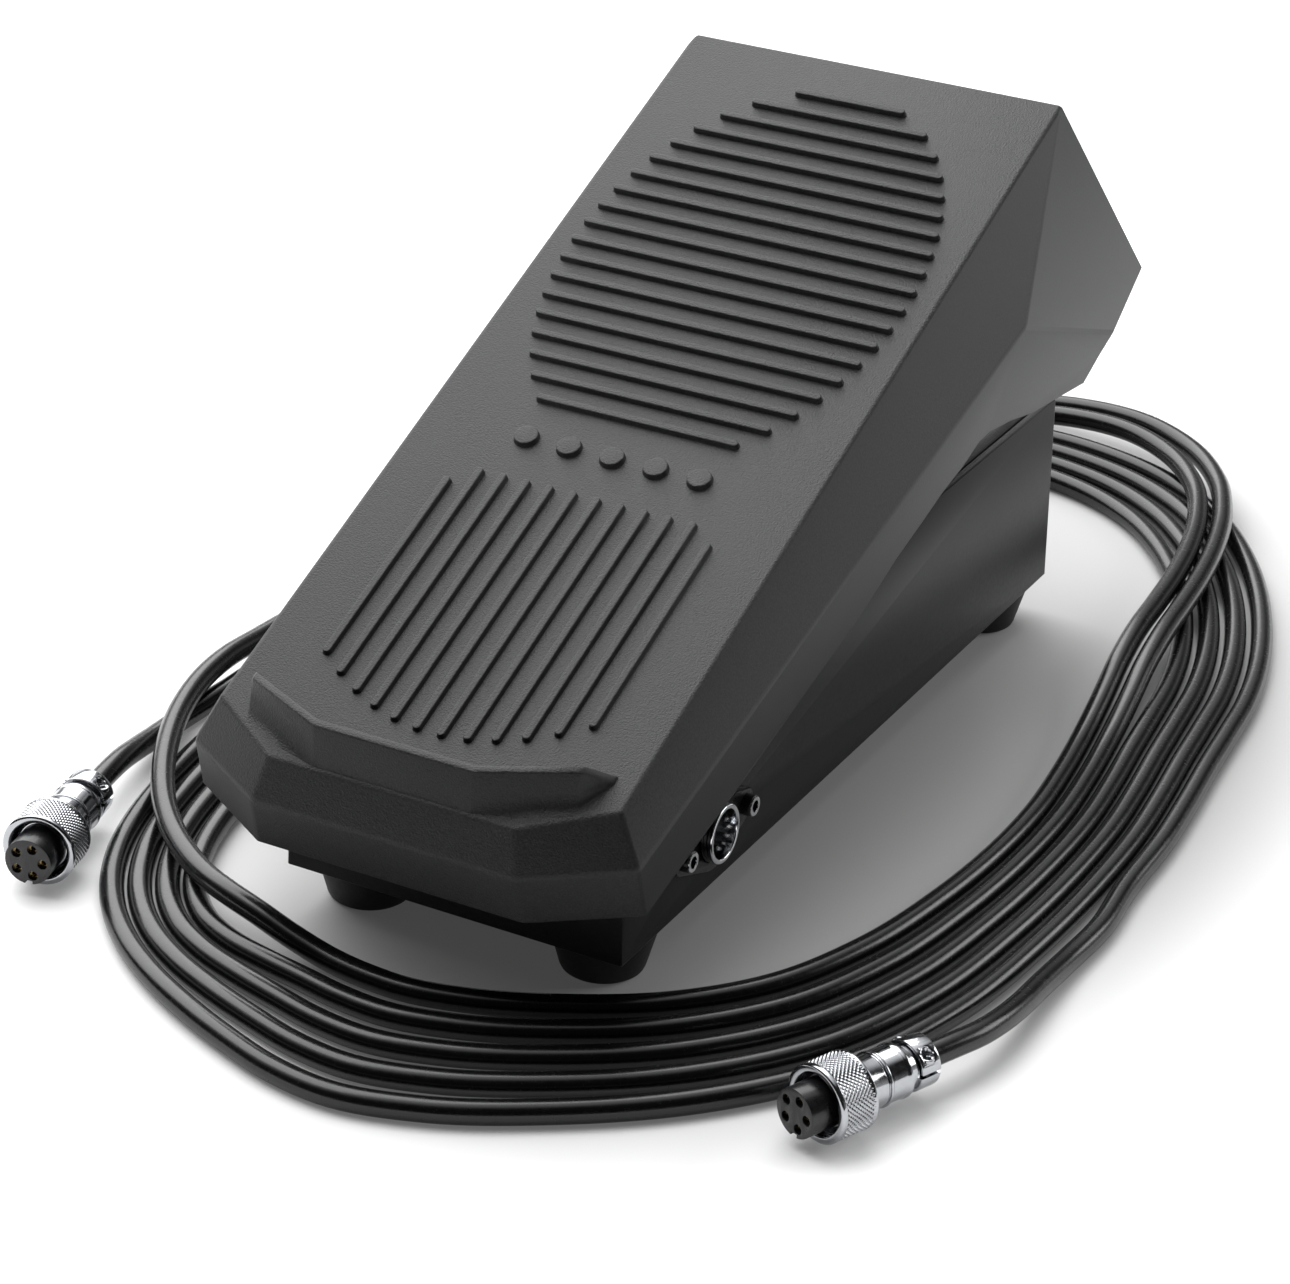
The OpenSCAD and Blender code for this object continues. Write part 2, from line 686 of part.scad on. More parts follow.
// Oval plate: a round middle and two small round ends, joined by their tangents
module flange_outline() {
    side = 90 - acos((flange_mid_r - flange_end_r) / flange_hole);
    top = [for (p = arc(flange_end_r, side, 180 - side, 12)) p + [0, flange_hole]];
    bottom = [for (p = arc(flange_end_r, 180 + side, 360 - side, 12)) p - [0, flange_hole]];
    polygon(concat(arc(flange_mid_r, -side, side, 8), top,
                   arc(flange_mid_r, 180 - side, 180 + side, 8), bottom));
}

module socket_flange() color("black") at_socket()
    difference() {
        union() {
            linear_extrude(flange_t) flange_outline();
            for (s = [-1, 1]) translate([0, s * flange_hole, 0])
                cylinder(r = eyelet_boss_r, h = eyelet_boss_h);
        }
        translate([0, 0, -1]) cylinder(r = socket_r + socket_gap, h = flange_t + 2);
        for (s = [-1, 1]) translate([0, s * flange_hole, -1])
            cylinder(r = eyelet_r + 0.02, h = eyelet_boss_h + 2);
    }

module flange_eyelets() color(chrome) at_socket()
    for (s = [-1, 1]) translate([0, s * flange_hole, 0]) difference() {
        union() {
            translate([0, 0, -tub_wall]) cylinder(r = eyelet_r, h = tub_wall + eyelet_boss_h);
            translate([0, 0, eyelet_boss_h]) cylinder(r = eyelet_rim_r, h = eyelet_rim_t);
            translate([0, 0, -tub_wall - eyelet_rim_t])
                cylinder(r = eyelet_rim_r, h = eyelet_rim_t);
        }
        translate([0, 0, -far]) cylinder(r = eyelet_bore, h = 2 * far);
    }

// ---------------------------------------------------------------- treadle modules
module treadle_cover() color(moulded)
    difference() {
        union() {
            difference() {
                treadle_form(0);
                treadle_form(shell_wall);
                below_rim();
            }
            intersection() {
                treadle_form(shell_wall / 2);
                union() {
                    both_sides() slab(ear_x, ear_t) ear_outline();
                    // Boss that the gear sector is screwed to
                    slab(sector_t / 2, sector_boss_t)
                        translate([SECTOR_SCREWS[1][0] - 3.4, sector_boss_z])
                            square([SECTOR_SCREWS[0][0] - SECTOR_SCREWS[1][0] + 6.8, 60]);
                    // Tab that presses the switch's lever
                    slab(switch_x + 0.4, switch_t - 0.8) {
                        translate(tab_tip) circle(tab_r);
                        polygon([tab_tip - [tab_r, 0], tab_tip + [tab_r, 0],
                                 tab_tip + [6, 70], tab_tip + [-4, 70]]);
                    }
                    // Tube that bears on the return spring
                    translate([0, spring_y, spring_seat_z]) difference() {
                        cylinder(r = seat_tube_r, h = treadle_h - spring_seat_z);
                        translate([0, 0, 3])
                            cylinder(r = seat_tube_bore, h = treadle_h - spring_seat_z);
                    }
                    // Cross-shaped posts that land on the bumpers
                    from_pressed() for (p = BUMPERS)
                        translate([p[0], p[1], tub_top + bumper_h + stop_gap])
                            for (a = [0, 90]) rotate(a)
                                translate([-post_w / 2, -post_t / 2, 0])
                                    cube([post_w, post_t, treadle_h]);
                }
            }
            translate([0, spring_y, spring_seat_z - spring_pilot_h])
                cylinder(r = spring_pilot_r, h = spring_pilot_h + 1);
        }
        translate(hinge) both_sides()
            rod_x(bush_r + 0.02, ear_x - 1, ear_x + ear_t + 1);
        for (p = SECTOR_SCREWS) translate([0, p[0], p[1]])
            rod_x(small_hole, 0, sector_t / 2 + 5.5);
    }

// A rib with round ends, from [x0, y0] to [x1, y1], both along x or both along y
module rib(x0, y0, x1, y1) {
    for (p = [[x0, y0], [x1, y1]]) translate(p) cylinder(r = rib_w / 2, h = rib_h, $fn = 16);
    if (y0 == y1) translate([x0, y0 - rib_w / 2, 0]) cube([x1 - x0, rib_w, rib_h]);
    else translate([x0 - rib_w / 2, y0, 0]) cube([rib_w, y1 - y0, rib_h]);
}

rib_start = 14.6;
oval_centre = 9.7;
oval_rows = 10.3;
dots_y = 144;
dot_pitch = 11.2;
long_top = 157.6;
long_bottom = 230.8;

module tread_ribs() color(moulded) on_plate() {
    for (k = [0 : cross_ribs - 1]) {
        half = oval_half_w * sqrt(1 - pow((k - oval_centre) / oval_rows, 2)) - rib_w / 2;
        y = -rib_start - k * cross_pitch;
        rib(-half, y, half, y);
    }
    for (k = [-2 : 2]) translate([k * dot_pitch, -dots_y, 0])
        cylinder(r = dot_r, h = rib_h, $fn = 24);
    for (k = [0 : long_ribs - 1]) {
        x = (k - (long_ribs - 1) / 2) * long_pitch;
        outermost = k == 0 || k == long_ribs - 1;
        rib(x, -long_bottom + 0.0118 * x * x, x, -long_top - (outermost ? 4.9 : 0));
    }
}

// Stations across the toe stop: x, y of its front top edge, height and y of its foot
LIP = [[45, 230.6, 0.05, 231.6], [40.8, 235.2, 0.82, 241.2], [30.2, 239.5, 0.91, 245.4],
       [19.7, 243.7, 1, 247.9]];
lip_stations = concat([for (s = LIP) [-s[0], -s[1], s[2] * lip_h, -s[3]]],
                      [for (i = [len(LIP) - 1 : -1 : 0])
                       [LIP[i][0], -LIP[i][1], LIP[i][2] * lip_h, -LIP[i][3]]]);

// Section of the toe stop: it stands upright on the sloping plate, with a fillet in front
function lip_section(s) =
    let (lean = tan(plate_slope), y = s[1], h = s[2], foot = s[3],
         low = min(3, h * 0.45), face = y - (h - low) * lean)
    [[s[0], y + lip_t - h * lean, 0], [s[0], y + lip_t, h], [s[0], y, h],
     [s[0], face, low], [s[0], face + (foot - face) * 0.35, low * 0.3], [s[0], foot, 0]];

// Triangles that join rings of n points each, with a fan at either end
function skin(rings, n) = concat(
    [for (i = [0 : rings - 2], j = [0 : n - 1])
     [i * n + j, i * n + (j + 1) % n, (i + 1) * n + j]],
    [for (i = [0 : rings - 2], j = [0 : n - 1])
     [i * n + (j + 1) % n, (i + 1) * n + (j + 1) % n, (i + 1) * n + j]],
    [for (j = [1 : n - 2]) [0, j + 1, j]],
    [for (j = [1 : n - 2]) (rings - 1) * n * [1, 1, 1] + [0, j, j + 1]]);

module toe_stop() color(moulded) on_plate()
    polyhedron([for (s = lip_stations, p = lip_section(s)) p],
               skin(len(lip_stations), 6));

module hinge_bushes() color(nylon)
    both_sides() translate(hinge) difference() {
        union() {
            rod_x(bush_r, ear_x, ear_x + ear_t);
            rod_x(bush_flange_r, ear_x + ear_t, ear_x + ear_t + bush_flange_t);
        }
        rod_x(pin_r + run_fit, ear_x - 1, ear_x + ear_t + bush_flange_t + 1);
    }

module gear_sector() color(nylon)
    difference() {
        slab(-sector_t / 2, sector_t) translate([-hinge_y, hinge_z]) polygon(sector_outline);
        for (p = SECTOR_SCREWS) translate([0, p[0], p[1]])
            rod_x(small_hole + 0.1, -sector_t, sector_t);
    }

module sector_screws() color(steel)
    for (p = SECTOR_SCREWS) translate([-sector_t / 2, p[0], p[1]]) rotate([0, -90, 0])
        screw(small_r, sector_t + 5, small_head_r, small_head_h);

module drive_pinion() color("white")
    difference() {
        slab(-pinion_t / 2, pinion_t) translate(pot_centre) polygon(pinion_outline);
        translate([0, pot_centre[0], pot_centre[1]])
            rod_x(shaft_r + 0.01, -pinion_t, pinion_t);
    }

module pot_shaft() color(brass)
    translate([0, pot_centre[0], pot_centre[1]])
        rod_x(shaft_r, -pinion_t / 2 - 1, bracket_x + bracket_t + shaft_depth - 0.3);

module switch_lever() color(steel)
    difference() {
        union() {
            translate([0, lever_pivot[0], lever_pivot[1]])
                rod_x(lever_eye_r, switch_x + 1, switch_x + 1 + lever_w);
            slab(switch_x + 1, lever_w) translate(lever_pivot) rotate(lever_angle)
                translate([0, -lever_t / 2]) square([lever_len, lever_t]);
        }
        translate([0, lever_pivot[0], lever_pivot[1]])
            rod_x(lever_pin_r + run_fit + 0.02, switch_x, switch_x + switch_t);
    }

// ---------------------------------------------------------------- swept round tubes
function unit(v) = v / norm(v);

// Rings of a tube of radius r round the points, square to the path; t0 and t1 are the
// directions at its two ends
function tube_points(pts, r, sides, t0, t1) =
    [for (i = [0 : len(pts) - 1])
     let (t = i == 0 ? unit(t0) : i == len(pts) - 1 ? unit(t1)
              : unit(pts[i + 1] - pts[i - 1]),
          side = unit(cross(t, [0, 0, 1])), up = cross(side, t))
     for (j = [0 : sides - 1]) let (a = (j + 0.5) * 360 / sides)
     pts[i] + r * (cos(a) * side + sin(a) * up)];

module tube(pts, r, sides, t0, t1)
    polyhedron(tube_points(pts, r, sides, t0, t1), skin(len(pts), sides), convexity = 12);

// Return spring: closed ends, even turns between; turns, rings to a turn
spring_turns = 6;
spring_rings = 8;
spring_low = inner_floor + 0.15 + spring_wire_r;
spring_high = spring_seat_z - 0.15 - spring_wire_r;
function spring_height(u) =
    let (closed = 1.15 * 2 * spring_wire_r, free = spring_turns - 2)
    u < 1 ? spring_low + closed * u
    : u > spring_turns - 1 ? spring_high - closed * (spring_turns - u)
    : spring_low + closed + (spring_high - spring_low - 2 * closed) * (u - 1) / free;
spring_path = [for (i = [0 : spring_turns * spring_rings])
    let (u = i / spring_rings)
    [spring_r * cos(360 * u), spring_y + spring_r * sin(360 * u), spring_height(u)]];

module return_spring() color(steel)
    tube(spring_path, spring_wire_r, 6, spring_path[1] - spring_path[0],
         spring_path[len(spring_path) - 1] - spring_path[len(spring_path) - 2]);

// ---------------------------------------------------------------- plugs
// Each plug: the point where its cord leaves it, and the direction its face looks
plug_z = nut_r + 0.1;
PLUG_A = [[113.5, -101.1, plug_z], -112.5];
PLUG_B = [[-103.1, -97.7, plug_z], -77.5];

clamp_len = 5.6;
neck_end = 8;
neck_r = 5.2;
nut_back = 20.3;
nut_front = plug_len - 5.6;
nut_lip = 2.2;
nut_bore = socket_r + 0.05;
sleeve_end = nut_front - 2.6;
// The insert is stepped: its thinner rear part sits in the barrel
insert_rear_r = insert_r - 0.4;
nose_start = sleeve_end + 0.1;
shoulder_r = nut_bore - 0.3;
ring_z = 13.8;
ring_w = 0.8;
cord_bore = cord_d / 2 + 0.1;
split = 0.3;
saddle_screw_y = 4.4;
contact_bore = 1.15;
contact_depth = 9;

// Along a plug's axis: z = 0 at the cord's end, the face at z = plug_len, x down
module at_plug(p) {
    translate(p[0]) rotate([0, 0, p[1]]) rotate([0, 90, 0]) children();
}

module plug_barrel(p) color(chrome) at_plug(p)
    difference() {
        union() {
            intersection() {
                cylinder(r = barrel_r - 0.1, h = clamp_len);
                translate([split, -barrel_r, 0]) cube([barrel_r, 2 * barrel_r, clamp_len]);
            }
            translate([0, 0, clamp_len]) cylinder(r = neck_r, h = neck_end - clamp_len);
            translate([0, 0, neck_end]) cylinder(r = barrel_r, h = nut_back + nut_lip - neck_end);
            translate([0, 0, ring_z]) cylinder(r = barrel_r + 0.3, h = ring_w);
            translate([0, 0, nut_back + nut_lip + 0.05]) cylinder(r = shoulder_r, h = 1.2);
            translate([0, 0, nut_back]) cylinder(r = barrel_r, h = sleeve_end - nut_back);
        }
        translate([0, 0, nut_back + 1]) cylinder(r = insert_rear_r + 0.02, h = plug_len);
        translate([0, 0, -1]) cylinder(r = cord_bore, h = clamp_len + 1);
        for (s = [-1, 1]) translate([0, s * saddle_screw_y, clamp_len / 2])
            rotate([0, 90, 0]) cylinder(r = 0.72, h = 3);
    }

module plug_insert(p) color("black") at_plug(p)
    difference() {
        union() {
            translate([0, 0, nut_back + 1])
                cylinder(r = insert_rear_r, h = plug_len - nut_back - 2);
            translate([0, 0, nose_start]) cylinder(r = insert_r, h = plug_len - nose_start);
        }
        contact_places() translate([0, 0, plug_len - contact_depth])
            cylinder(r = contact_bore, h = contact_depth + 1);
        // Groove for the socket's key
        translate([insert_r - 0.9, -0.9, sleeve_end - 2]) cube([2, 1.8, 20]);
    }

module plug_nut(p) color(chrome) at_plug(p)
    difference() {
        translate([0, 0, nut_back]) cylinder(r = nut_r, h = nut_front - nut_back);
        translate([0, 0, nut_back - 1]) cylinder(r = barrel_r + 0.08, h = plug_len);
        translate([0, 0, nut_back + nut_lip]) cylinder(r = nut_bore, h = plug_len);
    }

// Upper half of the cord clamp
module plug_saddle(p) color(chrome) at_plug(p)
    difference() {
        intersection() {
            cylinder(r = barrel_r - 0.1, h = clamp_len - 0.3);
            translate([-barrel_r - split, -barrel_r, 0])
                cube([barrel_r, 2 * barrel_r, clamp_len]);
        }
        translate([0, 0, -1]) cylinder(r = cord_bore, h = clamp_len + 2);
        for (s = [-1, 1]) translate([-barrel_r, s * saddle_screw_y, clamp_len / 2])
            rotate([0, 90, 0]) cylinder(r = 0.75, h = barrel_r);
        for (s = [-1, 1]) translate([-barrel_r - 1, s * saddle_screw_y, clamp_len / 2])
            rotate([0, 90, 0]) cylinder(r = 1.45, h = barrel_r - 1.4);
    }

module saddle_screws() color(chrome)
    for (p = [PLUG_A, PLUG_B]) at_plug(p)
        for (s = [-1, 1]) translate([-2.4, s * saddle_screw_y, clamp_len / 2])
            rotate([0, -90, 0]) screw(0.7, 4.6, 1.4, 1);

module plug_contacts() color(brass)
    for (p = [PLUG_A, PLUG_B]) at_plug(p) contact_places()
        translate([0, 0, plug_len - contact_depth]) difference() {
            cylinder(r = contact_bore - 0.02, h = contact_depth - 1.2);
            translate([0, 0, 1]) cylinder(r = pin_contact_r + 0.05, h = contact_depth);
        }

module plug_a_barrel() plug_barrel(PLUG_A);
module plug_a_insert() plug_insert(PLUG_A);
module plug_a_saddle() plug_saddle(PLUG_A);
module plug_a_nut() plug_nut(PLUG_A);
module plug_b_barrel() plug_barrel(PLUG_B);
module plug_b_insert() plug_insert(PLUG_B);
module plug_b_saddle() plug_saddle(PLUG_B);
module plug_b_nut() plug_nut(PLUG_B);

// ---------------------------------------------------------------- lead
// The lead lies in lanes round the base: lane 0 on the inner curve, lane 5 on the outer
// one. Stations go clockwise seen from above, from the front, sixteen to a turn.
INNER = [[14, -123.5], [-20, -124], [-48, -120], [-67, -97], [-78, -61], [-84, -18],
         [-87, 35], [-80, 95], [-55, 160], [-12, 208], [32, 200.5], [59, 164],
         [74.5, 116.5], [82.5, 64.5], [88, 0], [70, -84]];
OUTER = [[30, -176.5], [-20, -173], [-66, -147], [-95, -113], [-110, -68], [-116, -22],
         [-120, 38], [-115, 110], [-88, 188], [-22, 249], [47.5, 241], [87.5, 188.5],
         [108.5, 122], [115, 65.5], [120, 0], [106, -110]];
// Parts of a turn in which the strands change lanes, at the left and at the right
LEFT = [0.10, 0.32];
RIGHT = [0.585, 0.775];
lift = cord_d + 0.5;
coil_rings = 24;
coil_from = 9;
coil_to = 141;

function smooth(x) = let (u = min(max(x, 0), 1)) u * u * (3 - 2 * u);
function through(span, u) = smooth((u - span[0]) / (span[1] - span[0]));

// Point of a closed curve through the stations c, u of a turn from the front
function on_curve(c, u) =
    let (t = (u - floor(u)) * 16, k = floor(t), f = t - k,
         a = c[(k + 15) % 16], b = c[k % 16], d = c[(k + 1) % 16], e = c[(k + 2) % 16])
    0.5 * (2 * b + (d - a) * f + (2 * a - 5 * b + 4 * d - e) * f * f
           + (-a + 3 * b - 3 * d + e) * f * f * f);

// Lane at the rear of turn k: the first two turns lie outside the others
function rear_lane(k) = k < 2 ? 4 + k : k - 2;
function lane(tau) =
    let (k = floor(tau), u = tau - k)
    k == 0 && u < 0.5 ? 4
    : u < 0.5 ? k - 1 + (rear_lane(k) - k + 1) * through(LEFT, u)
    : rear_lane(k) + (k - rear_lane(k)) * through(RIGHT, u);

// How far a strand is lifted over the others in a crossing, from 0 to 1
function hump(span, u) =
    smooth((u - span[0] + 0.05) / 0.075) * (1 - smooth((u - span[1] + 0.025) / 0.075));
function height(tau) =
    let (k = floor(tau), u = tau - k)
    k == 1 ? max(hump(LEFT, u), hump(RIGHT, u)) : k == 0 ? hump(RIGHT, u) : 0;

function lead_at(tau) =
    let (u = tau - floor(tau), a = on_curve(INNER, u), b = on_curve(OUTER, u),
         p = a + (b - a) * lane(tau) / 5)
    [p[0], p[1], cord_d / 2 + lift * height(tau)];

coil_path = [for (i = [coil_from : coil_to]) lead_at(i / coil_rings)];
coil_start_dir = coil_path[1] - coil_path[0];
coil_end_dir = coil_path[len(coil_path) - 1] - coil_path[len(coil_path) - 2];

// Least gap between strands, measured on points along the path
fine = [for (i = [4 * coil_from : 4 * coil_to]) lead_at(i / coil_rings / 4)];
least_gap = min([for (i = [0 : len(fine) - 1], j = [i + 40 : 2 : len(fine) - 1])
                 norm(fine[i] - fine[j])]) - cord_d;
echo(least_gap = least_gap);  // lead_coil

function plug_dir(p) = [cos(p[1]), sin(p[1]), 0];
// Start of the cord inside a plug's clamp, and the mouth of the clamp
function cord_start(p) = p[0] + clamp_len * plug_dir(p);

// Free stretch from plug A, on the right, to the end of the coil
RUN_A = [[117, -92.6, 8.6], [119.6, -85, 7.4], [121, -76, 5.6], [121.4, -66, 3.9],
         [121.2, -55, 3], [121.3, -40, 2.9], [122, -20, 2.9]];
run_a_path = concat([cord_start(PLUG_A), PLUG_A[0]], RUN_A, [coil_path[len(coil_path) - 1]]);
// Free stretch from plug B, on the left, to the start of the coil
RUN_B = [[-105.1, -88.5, 8.7], [-107.2, -79.5, 7.4], [-109.3, -70, 5.4], [-111, -60, 3.7],
         [-112, -50, 2.95], [-112, -38, 2.9], [-111.6, -24, 2.9], [-111.6, -8, 2.9],
         [-112.5, 12, 2.9]];
run_b_path = concat([cord_start(PLUG_B), PLUG_B[0]], RUN_B, [coil_path[0]]);

module lead_coil() color(rubber)
    tube(coil_path, cord_d / 2, 6, coil_start_dir, coil_end_dir);
module lead_run_a() color(rubber)
    tube(run_a_path, cord_d / 2, 10, -plug_dir(PLUG_A), -coil_end_dir);
module lead_run_b() color(rubber)
    tube(run_b_path, cord_d / 2, 10, -plug_dir(PLUG_B), coil_start_dir);

// ---------------------------------------------------------------- drawing
base_tub();
base_lid();
lid_screws();
foot_front_left();
foot_front_right();
foot_rear_left();
foot_rear_right();
foot_screws();
hinge_pin();
hinge_clips();
stop_bumpers();
pot_bracket();
pot_body();
pot_nut();
bracket_screws();
switch_case();
switch_pin();
switch_screws();
socket_shell();
socket_insert();
socket_pins();
socket_flange();
flange_eyelets();
treadle_cover();
tread_ribs();
toe_stop();
hinge_bushes();
gear_sector();
sector_screws();
return_spring();
drive_pinion();
pot_shaft();
switch_lever();
plug_a_barrel();
plug_a_insert();
plug_a_saddle();
plug_a_nut();
plug_b_barrel();
plug_b_insert();
plug_b_saddle();
plug_b_nut();
plug_contacts();
saddle_screws();
lead_coil();
lead_run_a();
lead_run_b();
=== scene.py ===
# %% [markdown]
# # The foot pedal of a sewing machine
#
# The real object is a treadle of black moulded plastic, hinged on a tub-shaped base that
# stands on four rubber feet. A loose lead with a round plug at either end lies in turns
# round it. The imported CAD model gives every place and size, so this lesson only gives
# each piece its rounded edges, its fine detail and its finish.

import json
import math

import bmesh
import bpy
import numpy as np
from mathutils import Matrix, Vector
from mathutils.bvhtree import BVHTree


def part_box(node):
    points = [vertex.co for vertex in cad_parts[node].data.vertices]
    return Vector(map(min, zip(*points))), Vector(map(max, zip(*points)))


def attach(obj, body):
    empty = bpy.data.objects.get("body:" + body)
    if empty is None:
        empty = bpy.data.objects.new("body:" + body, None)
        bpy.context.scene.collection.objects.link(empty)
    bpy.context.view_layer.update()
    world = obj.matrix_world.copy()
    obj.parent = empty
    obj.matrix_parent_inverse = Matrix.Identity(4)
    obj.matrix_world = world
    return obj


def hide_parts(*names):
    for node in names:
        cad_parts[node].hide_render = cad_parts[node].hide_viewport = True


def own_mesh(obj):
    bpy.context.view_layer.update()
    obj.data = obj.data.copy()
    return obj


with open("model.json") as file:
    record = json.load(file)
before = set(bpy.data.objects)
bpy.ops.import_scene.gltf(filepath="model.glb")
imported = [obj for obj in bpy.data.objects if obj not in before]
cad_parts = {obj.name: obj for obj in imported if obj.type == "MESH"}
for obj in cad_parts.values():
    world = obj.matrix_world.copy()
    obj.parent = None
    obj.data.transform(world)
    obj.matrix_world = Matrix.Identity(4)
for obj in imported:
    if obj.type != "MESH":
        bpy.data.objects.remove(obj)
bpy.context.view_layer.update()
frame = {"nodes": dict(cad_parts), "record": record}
cad = frame["nodes"]
MM = 0.001

# %% [markdown]
# ## The camera
#
# A camera is a place, three directions and a lens. The directions are written as the
# columns of a matrix: right, up and backwards. A long lens of 106 mm stands almost a
# metre away and looks down by 26 degrees, so the pedal's edges converge only a little.

# %% The camera
camera_place = Vector((0.3706, -0.7389, 0.4429))
camera_right = Vector((0.88085, 0.47198, 0.03659))
camera_up = Vector((-0.23836, 0.37541, 0.89568))
camera_back = camera_right.cross(camera_up)

camera_data = bpy.data.cameras.new("camera")
camera_data.lens = 106.4
camera_data.sensor_width = 36.0
camera_data.sensor_fit = "HORIZONTAL"
camera_data.clip_start = 0.01
camera = bpy.data.objects.new("camera", camera_data)
bpy.context.scene.collection.objects.link(camera)
turn = Matrix((camera_right, camera_up, camera_back)).transposed().to_4x4()
camera.matrix_world = Matrix.Translation(camera_place) @ turn
bpy.context.scene.camera = camera
print("camera at", [round(v, 3) for v in camera_place])

# %% [markdown]
# ## Surfaces from numpy arrays
#
# Most new pieces here are grids of points: rows along the piece, columns round it.
# Working the points out as whole arrays is quick, and the same few lines turn any such
# grid into a closed mesh. A signed volume tells whether the faces look outwards.


# %% A grid of points becomes a mesh
def signed_volume(points, faces):
    """Volume inside quads: the sum of a . (b x c) / 6 over their triangles."""
    a, b, c, d = (points[faces[:, k]] for k in range(4))
    return (np.einsum("ij,ij->i", a, np.cross(b, c)).sum()
            + np.einsum("ij,ij->i", a, np.cross(c, d)).sum()) / 6


def grid_faces(rows, columns, closed=False):
    """Quads between neighbouring rows and columns; closed joins the last row to the first."""
    i = np.arange(rows if closed else rows - 1)[:, None] * columns
    up = (i + columns) % (rows * columns)
    j = np.arange(columns)[None, :]
    k = (j + 1) % columns
    return np.stack([i + j, i + k, up + k, up + j], -1).reshape(-1, 4)


def new_piece(name, points, faces, sharp=math.radians(40)):
    """Puts points (n, 3) in metres and a list of faces into a smooth-shaded mesh object."""
    mesh = bpy.data.meshes.new(name)
    mesh.from_pydata(points.tolist(), [], faces)
    mesh.polygons.foreach_set("use_smooth", np.ones(len(mesh.polygons), bool))
    mesh.set_sharp_from_angle(angle=sharp)
    piece = bpy.data.objects.new(name, mesh)
    bpy.context.scene.collection.objects.link(piece)
    return piece


def surface(name, *grids, closed=False, sharp=math.radians(40)):
    """One mesh from grids (rows, columns, 3) whose columns run round the piece. A closed
    grid is a ring; an open one gets a flat cap on its first and last row."""
    all_points, all_faces, start = [], [], 0
    for grid in grids:
        rows, columns = grid.shape[:2]
        points = grid.reshape(-1, 3)
        quads = grid_faces(rows, columns, closed)
        outwards = signed_volume(points, quads) > 0
        faces = ((quads if outwards else quads[:, ::-1]) + start).tolist()
        if not closed:
            first = list(range(start, start + columns))
            last = [v + (rows - 1) * columns for v in first]
            faces += [first[::-1], last] if outwards else [first, last[::-1]]
        all_points.append(points)
        all_faces += faces
        start += rows * columns
    return new_piece(name, np.vstack(all_points), all_faces, sharp)


# %% [markdown]
# ## The lead
#
# The lead is a round cord of 5.8 mm. It leaves one plug, runs along the floor, lies in
# turns round the pedal and ends in the other plug. Its turns follow six lanes between an
# inner and an outer closed curve. Where a turn changes lanes it climbs over the others in
# a long low hump. The route repeats the CAD's with its bends eased a little, and a cubic
# through its points is sampled every few millimetres, so the tube bends without corners.

# %% The lanes round the pedal
CORD = 5.8
PLUG_Z = 8.95
CLAMP = 5.6
PLUGS = {"a": (np.array([113.5, -101.1, PLUG_Z]), math.radians(-112.5)),
         "b": (np.array([-103.1, -97.7, PLUG_Z]), math.radians(-77.5))}
INNER = np.array([(14, -123.5), (-20, -124), (-48, -120), (-67, -97), (-78, -61), (-84, -18),
                  (-87, 35), (-80, 95), (-55, 160), (-12, 208), (32, 200.5), (59, 164),
                  (74.5, 116.5), (82.5, 64.5), (88, 0), (70, -84)], float)
OUTER = np.array([(30, -176.5), (-20, -173), (-66, -147), (-95, -113), (-110, -68),
                  (-116, -22), (-120, 38), (-115, 110), (-88, 188), (-22, 249), (47.5, 241),
                  (87.5, 188.5), (108.5, 122), (115, 65.5), (120, 0), (106, -110)], float)
LANES = 6
RIM_POINTS = 960
EASE = 0.022
LEFT = (0.10, 0.32)
RIGHT = (0.585, 0.775)
EARLY, LATE, SLOPE = 0.05, 0.025, 0.075
CLEARANCE = 0.5
PER_TURN = 24
FIRST, LAST = 9, 141


def smooth(x):
    """0 below 0, 1 above 1 and 3x^2 - 2x^3 between."""
    x = np.clip(x, 0, 1)
    return x * x * (3 - 2 * x)


def closed_curve(stations, u):
    """Catmull-Rom cubic through the stations, at u of a whole turn."""
    count = len(stations)
    t = (u % 1) * count
    k = np.floor(t).astype(int)
    f = (t - k)[:, None]
    a, b, c, d = (stations[(k + s) % count] for s in (-1, 0, 1, 2))
    return 0.5 * (2 * b + (c - a) * f + (2 * a - 5 * b + 4 * c - d) * f**2
                  + (-a + 3 * b - 3 * c + d) * f**3)


def eased_curve(stations, u):
    """The same curve with its bends eased, as a springy cord lies: its Fourier terms n are
    scaled by 2 g - g^2, where g = exp(-(2 pi n s)^2 / 2) and s is EASE of a turn."""
    count = RIM_POINTS
    rim = closed_curve(stations, np.arange(count) / count)
    g = np.exp(-0.5 * (2 * np.pi * np.fft.fftfreq(count, 1 / count) * EASE) ** 2)
    rim = np.fft.ifft(np.fft.fft(rim, axis=0) * (2 * g - g * g)[:, None], axis=0).real
    at = (u % 1) * count
    k = np.floor(at).astype(int)
    f = (at - k)[:, None]
    return rim[k % count] * (1 - f) + rim[(k + 1) % count] * f


def lane_of(turns):
    """Which lane a strand is in: it changes once at the left and once at the right."""
    k = np.floor(turns)
    u = turns - k
    rear = np.where(k < 2, 4 + k, k - 2)
    left = k - 1 + (rear - k + 1) * smooth((u - LEFT[0]) / (LEFT[1] - LEFT[0]))
    right = rear + (k - rear) * smooth((u - RIGHT[0]) / (RIGHT[1] - RIGHT[0]))
    return np.where(u < 0.5, np.where(k == 0, 4, left), right)


